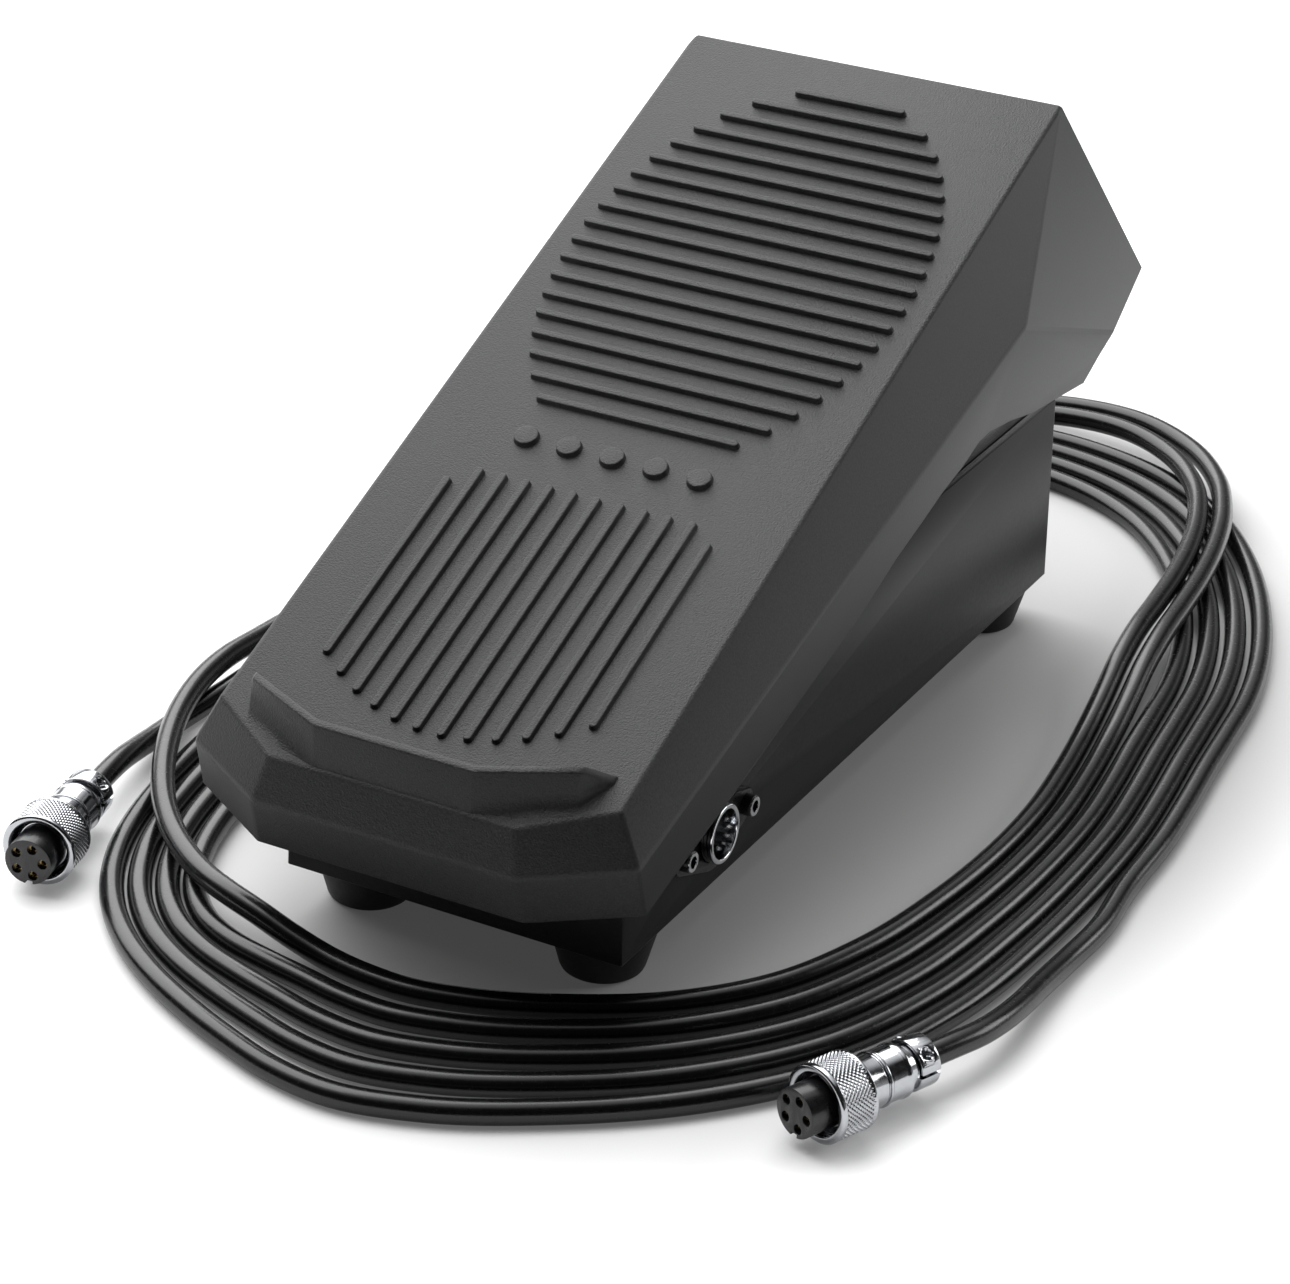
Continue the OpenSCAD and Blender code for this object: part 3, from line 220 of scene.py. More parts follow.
def lifted(turns):
    """How far a strand is raised over the others, from 0 to 1. It starts to rise EARLY
    before a change of lanes and is down again EARLY after it; each slope takes SLOPE."""
    k = np.floor(turns)
    u = turns - k

    def hump(span):
        return (smooth((u - span[0] + EARLY) / SLOPE)
                * (1 - smooth((u - span[1] + LATE) / SLOPE)))

    return np.where(k == 1, np.maximum(hump(LEFT), hump(RIGHT)),
                    np.where(k == 0, hump(RIGHT), 0))


def lead_at(turns):
    """Points of the coil, in millimetres, at these numbers of turns from its start."""
    u = turns % 1
    inner, outer = eased_curve(INNER, u), eased_curve(OUTER, u)
    flat = inner + (outer - inner) * (lane_of(turns) / (LANES - 1))[:, None]
    height = CORD / 2 + (CORD + CLEARANCE) * lifted(turns)
    return np.column_stack([flat, height])


coil = lead_at(np.arange(2 * FIRST, 2 * LAST + 1) / (2 * PER_TURN))
print("coil of", len(coil), "points")


# %% The two free stretches and the whole route
def plug_axis(key):
    """The direction from a plug's clamp to its face."""
    angle = PLUGS[key][1]
    return np.array([math.cos(angle), math.sin(angle), 0])


RUN_A = np.array([(117, -92.6, 8.85), (119.6, -85, 8.4), (121, -76, 7.5),
                  (121.4, -66, 6.3), (121.2, -55, 5), (121.3, -40, 3.5),
                  (122, -20, 2.9)], float)
RUN_B = np.array([(-105.1, -88.5, 8.85), (-107.2, -79.5, 8.0), (-109.3, -70, 6.2),
                  (-111.2, -60, 4.3), (-112.3, -50, 3.2), (-112.3, -38, 2.9),
                  (-111.6, -24, 2.9), (-111.6, -8, 2.9), (-112.5, 12, 2.9)], float)


def open_curve(knots, step):
    """Catmull-Rom cubic through the knots, with knot spacing by distance, and points on
    it every step."""
    t = np.concatenate([[0], np.cumsum(np.linalg.norm(np.diff(knots, axis=0), axis=1))])
    slope = np.gradient(knots, t, axis=0)
    at = np.linspace(0, t[-1], int(t[-1] / step) + 1)
    k = np.clip(np.searchsorted(t, at, side="right") - 1, 0, len(t) - 2)
    h = (t[k + 1] - t[k])[:, None]
    f = (at[:, None] - t[k][:, None]) / h
    return ((2 * f**3 - 3 * f**2 + 1) * knots[k] + (f**3 - 2 * f**2 + f) * h * slope[k]
            + (3 * f**2 - 2 * f**3) * knots[k + 1] + (f**3 - f**2) * h * slope[k + 1])


start_a = PLUGS["a"][0] + CLAMP * plug_axis("a")
start_b = PLUGS["b"][0] + CLAMP * plug_axis("b")
knots = np.vstack([start_a, PLUGS["a"][0], RUN_A, coil[::-1], RUN_B[::-1],
                   PLUGS["b"][0], start_b])
route = open_curve(knots, 3.0)
route[:, 2] = np.maximum(route[:, 2], CORD / 2)


# %% A tube along the route
def tube(name, path, radius, sides, ripple=None):
    """Rings square to the path: point + r (cos a * side + sin a * up), where side is the
    tangent crossed with +Z. The UV map runs along the tube and round it, in metres."""
    tangent = np.gradient(path, axis=0)
    tangent /= np.linalg.norm(tangent, axis=1)[:, None]
    side = np.cross(tangent, [0, 0, 1])
    side /= np.linalg.norm(side, axis=1)[:, None]
    up = np.cross(side, tangent)
    angle = np.arange(sides) * 2 * np.pi / sides
    ring = (np.cos(angle)[None, :, None] * side[:, None, :]
            + np.sin(angle)[None, :, None] * up[:, None, :])
    piece = surface(name, (path[:, None, :] + radius * ring) * MM)
    along = np.concatenate([[0], np.cumsum(np.linalg.norm(np.diff(path, axis=0), axis=1))])
    mesh = piece.data
    vertex = np.zeros(len(mesh.loops), int)
    mesh.loops.foreach_get("vertex_index", vertex)
    u = along[vertex // sides] * MM
    v = (vertex % sides) / sides
    layer = mesh.uv_layers.new(name="along")
    layer.data.foreach_set("uv", np.column_stack([u, v]).ravel())
    return piece


lead = tube("lead", route, CORD / 2, 16)

# %% [markdown]
# ## Finishes
#
# Each finish is a small tree of nodes round one Principled shader. Moulded plastic has a
# spark-eroded grain of about half a millimetre, which breaks its sheen into fine specks.
# All textures read Object coordinates, which are metres here, so a grain keeps its size
# on every piece.


# %% Helpers for trees of nodes
def fill(node, **sockets):
    """Gives inputs of a node their values, with _ for a space, and returns the node."""
    for socket, value in sockets.items():
        node.inputs[socket.replace("_", " ")].default_value = value
    return node


def mix(tree, factor, first, second):
    """A Mix node from the colour first to the colour second, led by factor."""
    node = tree.nodes.new("ShaderNodeMix")
    node.data_type = "RGBA"
    tree.links.new(factor, node.inputs["Factor"])
    return fill(node, A=first, B=second)


def ramp(tree, source, shape="SMOOTHSTEP", **limits):
    """The output of a Map Range node that source feeds."""
    node = fill(tree.nodes.new("ShaderNodeMapRange"), **limits)
    node.interpolation_type = shape
    tree.links.new(source, node.inputs["Value"])
    return node.outputs["Result"]


def combine(tree, operation, first, second):
    """The output of a Math node that two outputs feed."""
    node = tree.nodes.new("ShaderNodeMath")
    node.operation = operation
    tree.links.new(first, node.inputs[0])
    tree.links.new(second, node.inputs[1])
    return node.outputs[0]


# %% A helper that builds a finish
def paint(name, colour, roughness, metallic=0.0, grain=None, mottle=0.1, spread=0.04,
          scale=900.0, smooth_flanks=False, **sockets):
    """A Principled shader whose colour wanders by the share mottle, whose roughness wanders
    by spread, and whose bump comes from grain = (size in mm, height in mm). With
    smooth_flanks the bump fades where a face looks to the left or right."""
    material = bpy.data.materials.new(name)
    material.use_nodes = True
    tree = material.node_tree
    bsdf = fill(tree.nodes["Principled BSDF"], Metallic=metallic, **sockets)
    place = tree.nodes.new("ShaderNodeTexCoord").outputs["Object"]
    cloud = fill(tree.nodes.new("ShaderNodeTexNoise"), Scale=scale, Detail=4)
    tree.links.new(place, cloud.inputs["Vector"])
    tint = mix(tree, cloud.outputs["Fac"], (*[c * (1 - mottle) for c in colour], 1),
               (*[min(1, c * (1 + mottle)) for c in colour], 1))
    tree.links.new(tint.outputs["Result"], bsdf.inputs["Base Color"])
    gloss = ramp(tree, cloud.outputs["Fac"], "LINEAR", From_Min=0.3, From_Max=0.7,
                 To_Min=roughness - spread, To_Max=roughness + spread)
    tree.links.new(gloss, bsdf.inputs["Roughness"])
    if grain:
        size, height = grain
        speck = fill(tree.nodes.new("ShaderNodeTexNoise"), Scale=1000 / size, Detail=2)
        tree.links.new(place, speck.inputs["Vector"])
        bump = fill(tree.nodes.new("ShaderNodeBump"), Strength=1.0, Distance=height * MM)
        tree.links.new(speck.outputs["Fac"], bump.inputs["Height"])
        tree.links.new(bump.outputs["Normal"], bsdf.inputs["Normal"])
        if smooth_flanks:
            facing = tree.nodes.new("ShaderNodeNewGeometry")
            part = tree.nodes.new("ShaderNodeSeparateXYZ")
            flank = tree.nodes.new("ShaderNodeMath")
            flank.operation = "ABSOLUTE"
            tree.links.new(facing.outputs["True Normal"], part.inputs["Vector"])
            tree.links.new(part.outputs["X"], flank.inputs[0])
            keep = ramp(tree, flank.outputs[0], "LINEAR", From_Min=0.35, From_Max=0.75,
                        To_Min=1.0, To_Max=0.12)
            tree.links.new(keep, bump.inputs["Strength"])
    return material


# %% The finishes, by the record's slots
FINISH = {
    "base_plastic": paint("base_plastic", (0.025, 0.025, 0.026), 0.4, grain=(0.45, 0.08),
                          smooth_flanks=True, Specular_IOR_Level=0.2),
    "treadle_plastic": paint("treadle_plastic", (0.026, 0.026, 0.027), 0.46, mottle=0.85,
                             scale=2000.0, grain=(0.42, 0.2), smooth_flanks=True,
                             Specular_IOR_Level=0.3),
    "foot_rubber": paint("foot_rubber", (0.01, 0.01, 0.01), 0.6, grain=(0.4, 0.02)),
    "zinc_steel": paint("zinc_steel", (0.62, 0.63, 0.66), 0.3, 1.0, grain=(0.3, 0.01)),
    "sheet_steel": paint("sheet_steel", (0.6, 0.61, 0.62), 0.35, 1.0, grain=(0.2, 0.01)),
    "spring_steel": paint("spring_steel", (0.5, 0.5, 0.52), 0.25, 1.0, grain=(0.3, 0.01)),
    "component_case": paint("component_case", (0.02, 0.025, 0.03), 0.4, grain=(0.4, 0.02)),
    "plain_brass": paint("plain_brass", (0.78, 0.6, 0.3), 0.25, 1.0, grain=(0.3, 0.006)),
    "acetal": paint("acetal", (0.8, 0.79, 0.74), 0.4, grain=(0.5, 0.01)),
    "socket_chrome": paint("socket_chrome", (0.75, 0.76, 0.78), 0.12, 1.0,
                           grain=(0.4, 0.003)),
    "insulator": paint("insulator", (0.008, 0.008, 0.009), 0.3, grain=(0.4, 0.01)),
    "plug_chrome": paint("plug_chrome", (0.42, 0.43, 0.45), 0.14, 1.0, grain=(0.4, 0.003)),
    "lead_jacket": paint("lead_jacket", (0.004, 0.004, 0.0043), 0.24, grain=(3.0, 0.008),
                         mottle=0.2),
}
# A dark material: painted shade inside the rivets' bores, and the ring's outside below its
# lip.
BORE_SHADE_AND_DARK_RING = paint("bore_shade_and_dark_ring", (0.03, 0.03, 0.032), 0.3, 1.0, grain=(0.4, 0.003))
print(len(FINISH), "finishes")

# %% [markdown]
# ## Standing in for CAD nodes
#
# The CAD nodes keep every size and every fit. A piece made here rides on the same body as
# the node that it stands for, in the finish that the record gives to that node.


# %% A piece takes a node's place
slot_of = {s["node"]: s["material_slot"] for s in frame["record"]["subparts"]}
body_of = {node: body for body, nodes in frame["record"]["behaviour"]["bodies"].items()
           for node in nodes}
standing_in = set()


def stand_for(piece, *nodes):
    """piece takes the place, body, slot and finish of these CAD nodes."""
    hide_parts(*nodes)
    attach(piece, body_of[nodes[0]])
    piece.data.materials.append(FINISH[slot_of[nodes[0]]])
    standing_in.update(nodes)
    return piece


stand_for(lead, "lead_coil", "lead_run_a", "lead_run_b")

# %% [markdown]
# ## Mouldings with rounded edges
#
# The treadle's cover and the base are hollow mouldings whose flat walls meet at crisp
# corners. A CAD mesh is loose triangles, so a copy is merged and its flat areas are
# joined into single faces. Only the edges that can be seen from outside get a bevel
# weight: full on the long corners, less on short edges and on the thin lower rim.


# %% A merged copy with weighted bevels
WELD = 3e-6
FLAT = math.radians(0.2)
CORNER, CREASE = math.radians(12), math.radians(28)
LOOKS_DOWN = -0.6


def outer_edges(form, least_angle, sideways):
    """Convex edges from which a ray, sent along the sum of the two face normals, meets
    nothing, with the length and the lowest normal of each. With sideways, a level ray
    has to pass as well, which leaves out what lies inside a hollow."""
    tree = BVHTree.FromBMesh(form)
    found = []
    for edge in form.edges:
        if len(edge.link_faces) != 2 or edge.calc_face_angle_signed() < least_angle:
            continue
        normals = [face.normal for face in edge.link_faces]
        out = (normals[0] + normals[1]).normalized()
        middle = (edge.verts[0].co + edge.verts[1].co) / 2
        level = Vector((out.x, out.y, 0)).normalized() if sideways else out
        if all(tree.ray_cast(middle + out * 2e-4, way)[0] is None for way in (out, level)):
            found.append((edge, edge.calc_length() / MM, min(n.z for n in normals)))
    return found


def moulding(node, width, segments=3, rim=0.35, short=2.5, join=0.0, sideways=False):
    """Merges a copy of a CAD node and bevels its outer edges, width millimetres wide.
    Outer edges shorter than join are closed up first. An edge of a face that looks down,
    or one shorter than short, gets only the share rim of the width."""
    form = bmesh.new()
    form.from_mesh(cad[node].data)
    bmesh.ops.remove_doubles(form, verts=form.verts, dist=WELD)
    bmesh.ops.dissolve_limit(form, angle_limit=FLAT, verts=form.verts, edges=form.edges)
    form.normal_update()
    for edge, length, _ in outer_edges(form, CORNER, sideways):
        if edge.is_valid and length < join:
            middle = (edge.verts[0].co + edge.verts[1].co) / 2
            bmesh.ops.pointmerge(form, verts=edge.verts, merge_co=middle)
    form.normal_update()
    weight = form.edges.layers.float.new("bevel_weight_edge")
    edges = outer_edges(form, CORNER, sideways)
    for edge in form.edges:
        edge.smooth = edge.calc_face_angle(0) < CREASE
    for edge, length, low in edges:
        edge[weight] = rim if low < LOOKS_DOWN or length < short else 1.0
        edge.smooth = True
    mesh = bpy.data.meshes.new(node + "_moulding")
    form.to_mesh(mesh)
    form.free()
    mesh.polygons.foreach_set("use_smooth", np.ones(len(mesh.polygons), bool))
    piece = bpy.data.objects.new(node + "_moulding", mesh)
    bpy.context.scene.collection.objects.link(piece)
    bevel = piece.modifiers.new("bevel", "BEVEL")
    bevel.width = width * MM
    bevel.segments = segments
    bevel.limit_method = "WEIGHT"
    bevel.use_clamp_overlap = False
    bevel.harden_normals = True
    print(node, len(edges), "outer edges")
    return stand_for(piece, node)


moulding("treadle_cover", 0.9, 4, join=2.3, sideways=True)
moulding("base_tub", 0.9, 3, join=1.2, sideways=True)

# %% [markdown]
# ## The tread
#
# Nineteen cross ribs fill an oval, a row of five dots lies below it and twelve long ribs
# run on to the toe. Each is a stadium outline carried up through a few levels: a little
# wider where it meets the plate, and drawn in round its top edge. Their places follow the
# plate, whose slope comes from the heights of its rear and front edges.

# %% The sloping plate
PLATE_REAR = np.array([0, 96, 153.5])
PLATE_FRONT = np.array([0, -132, 54.4])
along = (PLATE_REAR - PLATE_FRONT) / np.linalg.norm(PLATE_REAR - PLATE_FRONT)
square_up = np.array([0, -along[2], along[1]])


def on_plate(points):
    """x across the plate, y up its slope from the rear edge, z square to it."""
    x, y, z = np.moveaxis(points, -1, 0)
    return (PLATE_REAR + x[..., None] * np.array([1, 0, 0]) + y[..., None] * along
            + z[..., None] * square_up) * MM


print("slope", round(math.degrees(math.asin(along[2])), 2), "degrees")

# %% Ribs and dots
RIB_W = 1.9
RIB_H = 1.1
DOT_R = 2.9
CROSS_RIBS, CROSS_TOP, CROSS_STEP = 19, -14.6, 6.5
OVAL_HALF, OVAL_MIDDLE, OVAL_RIBS = 44.2, 9.7, 10.3
DOTS_Y, DOT_STEP = -144, 11.2
LONG_RIBS, LONG_TOP, LONG_STEP, OUTER_CUT = 12, -157.6, 6.08, 4.9
TOE_Y, TOE_BEND = -230.8, 0.0118


def raised(start, end, radius, turns=10):
    """A bar with round ends: half circles of the radius round both ends, at levels that
    give a fillet at its foot and a rounded top edge."""
    levels = np.array([(0.22, -0.15), (0.2, 0.0), (0.04, 0.18), (0, 0.75 * RIB_H),
                       (-0.07, 0.9 * RIB_H), (-0.2, 0.98 * RIB_H), (-0.4, RIB_H)])
    heading = math.atan2(end[1] - start[1], end[0] - start[0]) if start != end else 0
    a = np.linspace(-np.pi / 2, np.pi / 2, turns) + heading
    angle = np.concatenate([a, a + np.pi])
    centre = np.repeat([end, start], turns, axis=0)
    ring = np.column_stack([np.cos(angle), np.sin(angle)])
    flat = centre[None] + (radius + levels[:, 0])[:, None, None] * ring[None]
    height = np.broadcast_to(levels[:, 1][:, None, None], flat.shape[:2] + (1,))
    return on_plate(np.concatenate([flat, height], -1))


bars = []
for k in range(CROSS_RIBS):
    half = OVAL_HALF * math.sqrt(1 - ((k - OVAL_MIDDLE) / OVAL_RIBS) ** 2) - RIB_W / 2
    y = CROSS_TOP - CROSS_STEP * k
    bars.append(raised((-half, y), (half, y), RIB_W / 2))
for k in range(-2, 3):
    x = DOT_STEP * k
    bars.append(raised((x, DOTS_Y), (x + 1e-6, DOTS_Y), DOT_R, 24))
for k in range(LONG_RIBS):
    x = (k - (LONG_RIBS - 1) / 2) * LONG_STEP
    top = LONG_TOP - (OUTER_CUT if k in (0, LONG_RIBS - 1) else 0)
    bars.append(raised((x, TOE_Y + TOE_BEND * x * x), (x, top), RIB_W / 2))
stand_for(surface("tread_pattern", *bars), "tread_ribs")
print(len(bars), "ribs and dots")

# %% [markdown]
# ## The toe stop
#
# The toe stop is a thin upright wall in seven straight lengths, tallest in the middle, with
# a wide soft fillet in front. Its section is worked out at every station at once: up the
# rear face, round the top, down the front face and out along a quadratic curve.

# %% The toe stop's stations and section
LIP_H = 8.8
LIP_T = 2.0
SUNK = -0.2
EDGE_R = 0.35
LIP = np.array([(45, 230.6, 0.05, 231.6), (40.8, 235.2, 0.82, 241.2),
                (30.2, 239.5, 0.91, 245.4), (19.7, 243.7, 1, 247.9)])
stations = np.vstack([LIP * (-1, -1, LIP_H, -1), LIP[::-1] * (1, -1, LIP_H, -1)])
spread = np.concatenate([[-45, -44.6], (LIP[1:, 0][:, None] * -1 + [-0.35, 0.35]).ravel()])
across = np.concatenate([spread, -spread[::-1]])
top_y, height, foot_y = (np.interp(across, stations[:, 0], stations[:, k])
                         for k in (1, 2, 3))
lean = along[2] / along[1]
edge = np.minimum(EDGE_R, height * 0.3)
low = height * 0.4
front_low = top_y - (height - low) * lean


def curve(p, q, r, steps=8):
    """Quadratic curve from p to r, drawn towards q."""
    t = np.linspace(0, 1, steps)[:, None]
    return p * (1 - t) ** 2 + 2 * q * t * (1 - t) + r * t**2


section_y = np.vstack([
    top_y + LIP_T - height * lean, top_y + LIP_T - edge * lean,
    top_y + LIP_T - edge * 0.25, top_y + LIP_T - edge, top_y + edge,
    top_y + edge * 0.25, top_y - edge * lean,
    curve(front_low, front_low - low * lean, foot_y), foot_y])
section_z = np.vstack([
    np.full_like(height, SUNK), height - edge, height - edge * 0.25, height,
    height, height - edge * 0.25, height - edge,
    curve(low, low * 0.1, np.full_like(low, 0.03)), np.full_like(height, SUNK)])
section_x = np.broadcast_to(across, section_y.shape)
lip = on_plate(np.stack([section_x, section_y, section_z], -1).transpose(1, 0, 2))
stand_for(surface("toe_stop_wall", lip, sharp=math.radians(35)), "toe_stop")
print("toe stop of", lip.shape[0], "sections")

# %% [markdown]
# ## Turned pieces
#
# The feet, the rivets, the socket's shell and the plugs are bodies of revolution. An
# outline of (z, r) points gets its corners rounded by short quadratic curves, then it is
# turned about an axis. A thread or a knurl only adds a ripple to the radius.


# %% Outlines and lathes
def rounded(outline, radius, steps=4):
    """Closed outline (n, 2) with each corner replaced by a quadratic curve that starts and
    ends at the given distance from it, or at 0.4 of a shorter side."""
    outline = np.asarray(outline, float)
    radius = np.broadcast_to(radius, len(outline))
    parts = []
    for k, corner in enumerate(outline):
        before, after = outline[k - 1], outline[(k + 1) % len(outline)]
        ends = []
        for other in (before, after):
            side = np.linalg.norm(other - corner)
            ends.append(corner + (other - corner) * min(radius[k], 0.4 * side) / side)
        parts.append(curve(ends[0], corner, ends[1], steps))
    return np.vstack(parts)


def axes(origin, z_axis, x_axis):
    """Origin and three directions of a local frame, as columns x, y, z."""
    z, x = np.asarray(z_axis, float), np.asarray(x_axis, float)
    return np.asarray(origin, float), np.column_stack([x, np.cross(z, x), z])


def turned(outline, place, sides=64, radius_at=None):
    """Grid of the outline's (z, r) points turned about z: r cos a, r sin a, z. radius_at
    may change the radius by z and a."""
    outline = np.asarray(outline, float)
    a = np.arange(sides) * 2 * np.pi / sides
    z = np.broadcast_to(outline[:, :1], (len(outline), sides))
    r = np.broadcast_to(outline[:, 1:], z.shape)
    if radius_at:
        r = radius_at(z, r, np.broadcast_to(a, z.shape))
    local = np.stack([r * np.cos(a), r * np.sin(a), z], -1)
    return (place[0] + local @ place[1].T) * MM


# %% [markdown]
# ## The feet
#
# Each rubber foot is a short cone, wider at the top, with a rounded lower edge and a
# recess for its screw. The places come from the CAD nodes' boxes.

# %% Four rubber feet
FOOT_H = 11
FOOT = rounded([(0, 4), (0, 9.5), (FOOT_H, 12.5), (FOOT_H, 1.56), (5, 1.56), (5, 4)],
               [0.3, 1.5, 0.6, 0.1, 0.1, 0.3])
for node in ("foot_front_left", "foot_front_right", "foot_rear_left", "foot_rear_right"):
    low_corner, high_corner = (np.array(c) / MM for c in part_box(node))
    centre = (low_corner + high_corner) / 2
    spot = axes([centre[0], centre[1], 0], (0, 0, 1), (1, 0, 0))
    stand_for(surface(node + "_rubber", turned(FOOT, spot), closed=True), node)
print("four feet")

# %% [markdown]
# ## The socket
#
# A threaded chrome ring stands out of the right wall through an oval flange that two
# hollow rivets hold. The thread is a ripple whose phase turns with the angle: a triangle
# wave of z / pitch - a / 2 pi. The rivets' bores get a dark material as painted shade inside
# the holes, and the ring below its lip, thread included, gets the same dark material.

# %% The socket's place and its threaded shell
TUB_HALF = 43.3
TUB_DRAFT = math.radians(1.6)
FOOT_TOP = 11
SOCKET_Y, SOCKET_Z = -64.5, 25.9
wall_x = TUB_HALF - (SOCKET_Z - FOOT_TOP) * math.tan(TUB_DRAFT)
socket_axis = (math.cos(TUB_DRAFT), 0, math.sin(TUB_DRAFT))
socket_down = (math.sin(TUB_DRAFT), 0, -math.cos(TUB_DRAFT))
at_socket = axes([wall_x, SOCKET_Y, SOCKET_Z], socket_axis, socket_down)
SHELL_PLAIN = 6.8
RIVET_OUT = 15.2


def wave(t):
    """Triangle wave of period 1 between 0 and 1."""
    return np.abs((t % 1) * 2 - 1)


def thread(first, last, pitch, depth):
    """A radius_at for turned: a V thread, depth deep, between the heights first and last
    and only outside SHELL_PLAIN. It fades out over 0.3 mm at both ends."""
    def radius_at(z, r, a):
        inside = (z > first) & (z < last)
        fade = np.clip(np.minimum(z - first, last - z) / 0.3, 0, 1)
        ripple = wave(z / pitch - a / (2 * np.pi))
        return np.where(inside & (r > SHELL_PLAIN), r - depth * ripple * fade, r)
    return radius_at


shell = [(z, 7.0) for z in np.arange(1.7, 3.9, 0.1)]
SHELL = np.vstack([[(-11, 5.85), (-11, 6.6), (-4.3, 6.6), (-4.3, 8.5), (-2.5, 8.5),
                    (-2.5, 6.6), (1.6, 6.6), (1.6, 6.95)], shell,
                   curve(np.array([3.95, 7.0]), np.array([4.3, 7.0]),
                         np.array([4.3, 6.6]), 5),
                   curve(np.array([4.3, 6.2]), np.array([4.3, 5.85]),
                         np.array([3.8, 5.85]), 4)])
ring = surface("socket_ring", turned(SHELL, at_socket, 128, thread(1.65, 3.9, 1, 0.4)),
               closed=True)
stand_for(ring, "socket_shell")
moulding("socket_flange", 0.3, 2)
moulding("socket_insert", 0.2, 2)
moulding("socket_pins", 0.12, 2)

# %% Two hollow rivets
EYELET = rounded([(-2.8, 1.4), (-2.8, 2.35), (-2.5, 2.35), (-2.5, 1.9), (3.8, 1.9),
                  (3.8, 2.35), (4.1, 2.35), (4.1, 1.4)], 0.14, 3)
rivets = []
for side in (-1, 1):
    spot = at_socket[0] + at_socket[1] @ (0, side * RIVET_OUT, 0)
    rivets.append(turned(EYELET, (spot, at_socket[1]), 40))
eyelets = stand_for(surface("socket_rivets", *rivets, closed=True), "flange_eyelets")


def darken(piece, place, centres, height, radii):
    """Faces below the height whose distance from the nearest of the axes that stand on
    centres lies between the radii get the dark material: painted shade in the rivets'
    bores, plain dark on the ring. Their centres are turned into the local frame first."""
    piece.data.materials.append(BORE_SHADE_AND_DARK_RING)
    middle = np.zeros(len(piece.data.polygons) * 3)
    piece.data.polygons.foreach_get("center", middle)
    local = (middle.reshape(-1, 3) / MM - place[0]) @ place[1]
    away = np.min([np.hypot(local[:, 0], local[:, 1] - y) for y in centres], axis=0)
    dark = (local[:, 2] < height) & (away > radii[0]) & (away < radii[1])
    piece.data.polygons.foreach_set("material_index", dark.astype(np.int32))
    print(piece.name, int(dark.sum()), "dark faces of", len(dark))


# Painted shade: the faces inside the rivets' bores get the dark material.
darken(eyelets, at_socket, (-RIVET_OUT, RIVET_OUT), 4.0, (0, 1.6))
# The ring's faces below its lip, thread included, get the same dark material.
darken(ring, at_socket, (0,), 3.85, (6.4, 9))

# %% [markdown]
# ## The plugs
#
# A plug is a turned barrel with a cord clamp at one end, a knurled coupling nut that spins
# on it and a stepped black insert with five contacts. One loop makes both plugs, and their
# nuts ride on the CAD bodies that spin. The clamp's lower half is a new cradle; its upper
# half and its screws are bevelled copies.

# %% The frame of a plug
NUT_BACK, NUT_FRONT = 20.3, 30.4
NUT_R = 8.85
KNURL_PITCH, KNURL_DEPTH = 1.12, 0.42
KNURL_FIRST, KNURL_LAST = 21.2, 29.2


def at_plug(key):
    """z runs along the plug to its face and x points down."""
    angle = PLUGS[key][1]
    return axes(PLUGS[key][0], (math.cos(angle), math.sin(angle), 0), (0, 0, -1))


# %% The knurled nut
def knurl(z, r, a):
    """Two crossed families of grooves, min(wave(u + v), wave(u - v)), between plain rims
    outside, and a V thread inside."""
    u = a * round(2 * np.pi * NUT_R / KNURL_PITCH / 2) / np.pi
    v = z / KNURL_PITCH
    rough = np.minimum(wave(u + v), wave(u - v))
    fade = np.clip(np.minimum(z - KNURL_FIRST, KNURL_LAST - z) / 0.35, 0, 1)
    outer = r - KNURL_DEPTH * fade * (1 - rough)
    inner = r + 0.3 * wave(z - a / (2 * np.pi)) * np.clip((30 - z) / 0.4, 0, 1)
    return np.where(r > 8.7, outer, np.where((r > 7) & (r < 7.2) & (z > 22.6), inner, r))


NUT = np.vstack([
    [(NUT_BACK, 6.08), (NUT_BACK, 8.2), (NUT_BACK + 0.08, 8.5),
     (NUT_BACK + 0.3, NUT_R - 0.02)],
    [(z, NUT_R) for z in np.arange(20.8, 29.81, 0.14)],
    [(NUT_FRONT - 0.35, NUT_R - 0.02), (NUT_FRONT - 0.08, 8.5), (NUT_FRONT, 8.2),
     (NUT_FRONT, 7.5), (NUT_FRONT - 0.1, 7.3), (NUT_FRONT - 0.35, 7.06)],
    [(z, 7.05) for z in np.arange(29.8, 22.7, -0.2)],
    [(22.5, 7.05), (22.5, 6.08)]])


# %% The barrel and the clamp
BARREL = rounded([(5.6, 3.0), (5.6, 5.2), (7.7, 5.2), (8.0, 6.25), (8.9, 6.25), (9.3, 5.98),
                  (13.4, 5.98), (13.5, 5.8), (13.8, 5.8), (13.85, 6.3), (14.5, 6.3),
                  (14.55, 5.8), (14.8, 5.8), (14.9, 5.98), (22.53, 5.98), (22.56, 6.75),
                  (23.7, 6.75), (23.75, 5.98), (27.8, 5.98), (27.8, 5.3), (21.3, 5.3),
                  (21.3, 3.0)], 0.18, 3)


def half_clamp(place, first, last, length):
    """A rounded rectangle, 3 to 5.9 from the axis and length long, swept from the first
    angle to the last: r cos a, r sin a, z."""
    box = rounded([(0.02, 3.0), (0.02, 5.9), (length, 5.9), (length, 3.0)], 0.45, 4)
    a = np.linspace(first, last, 33)[:, None]
    z, r = box[:, 0][None], box[:, 1][None]
    local = np.stack([r * np.cos(a), r * np.sin(a), z + 0 * a], -1)
    return (place[0] + local @ place[1].T) * MM


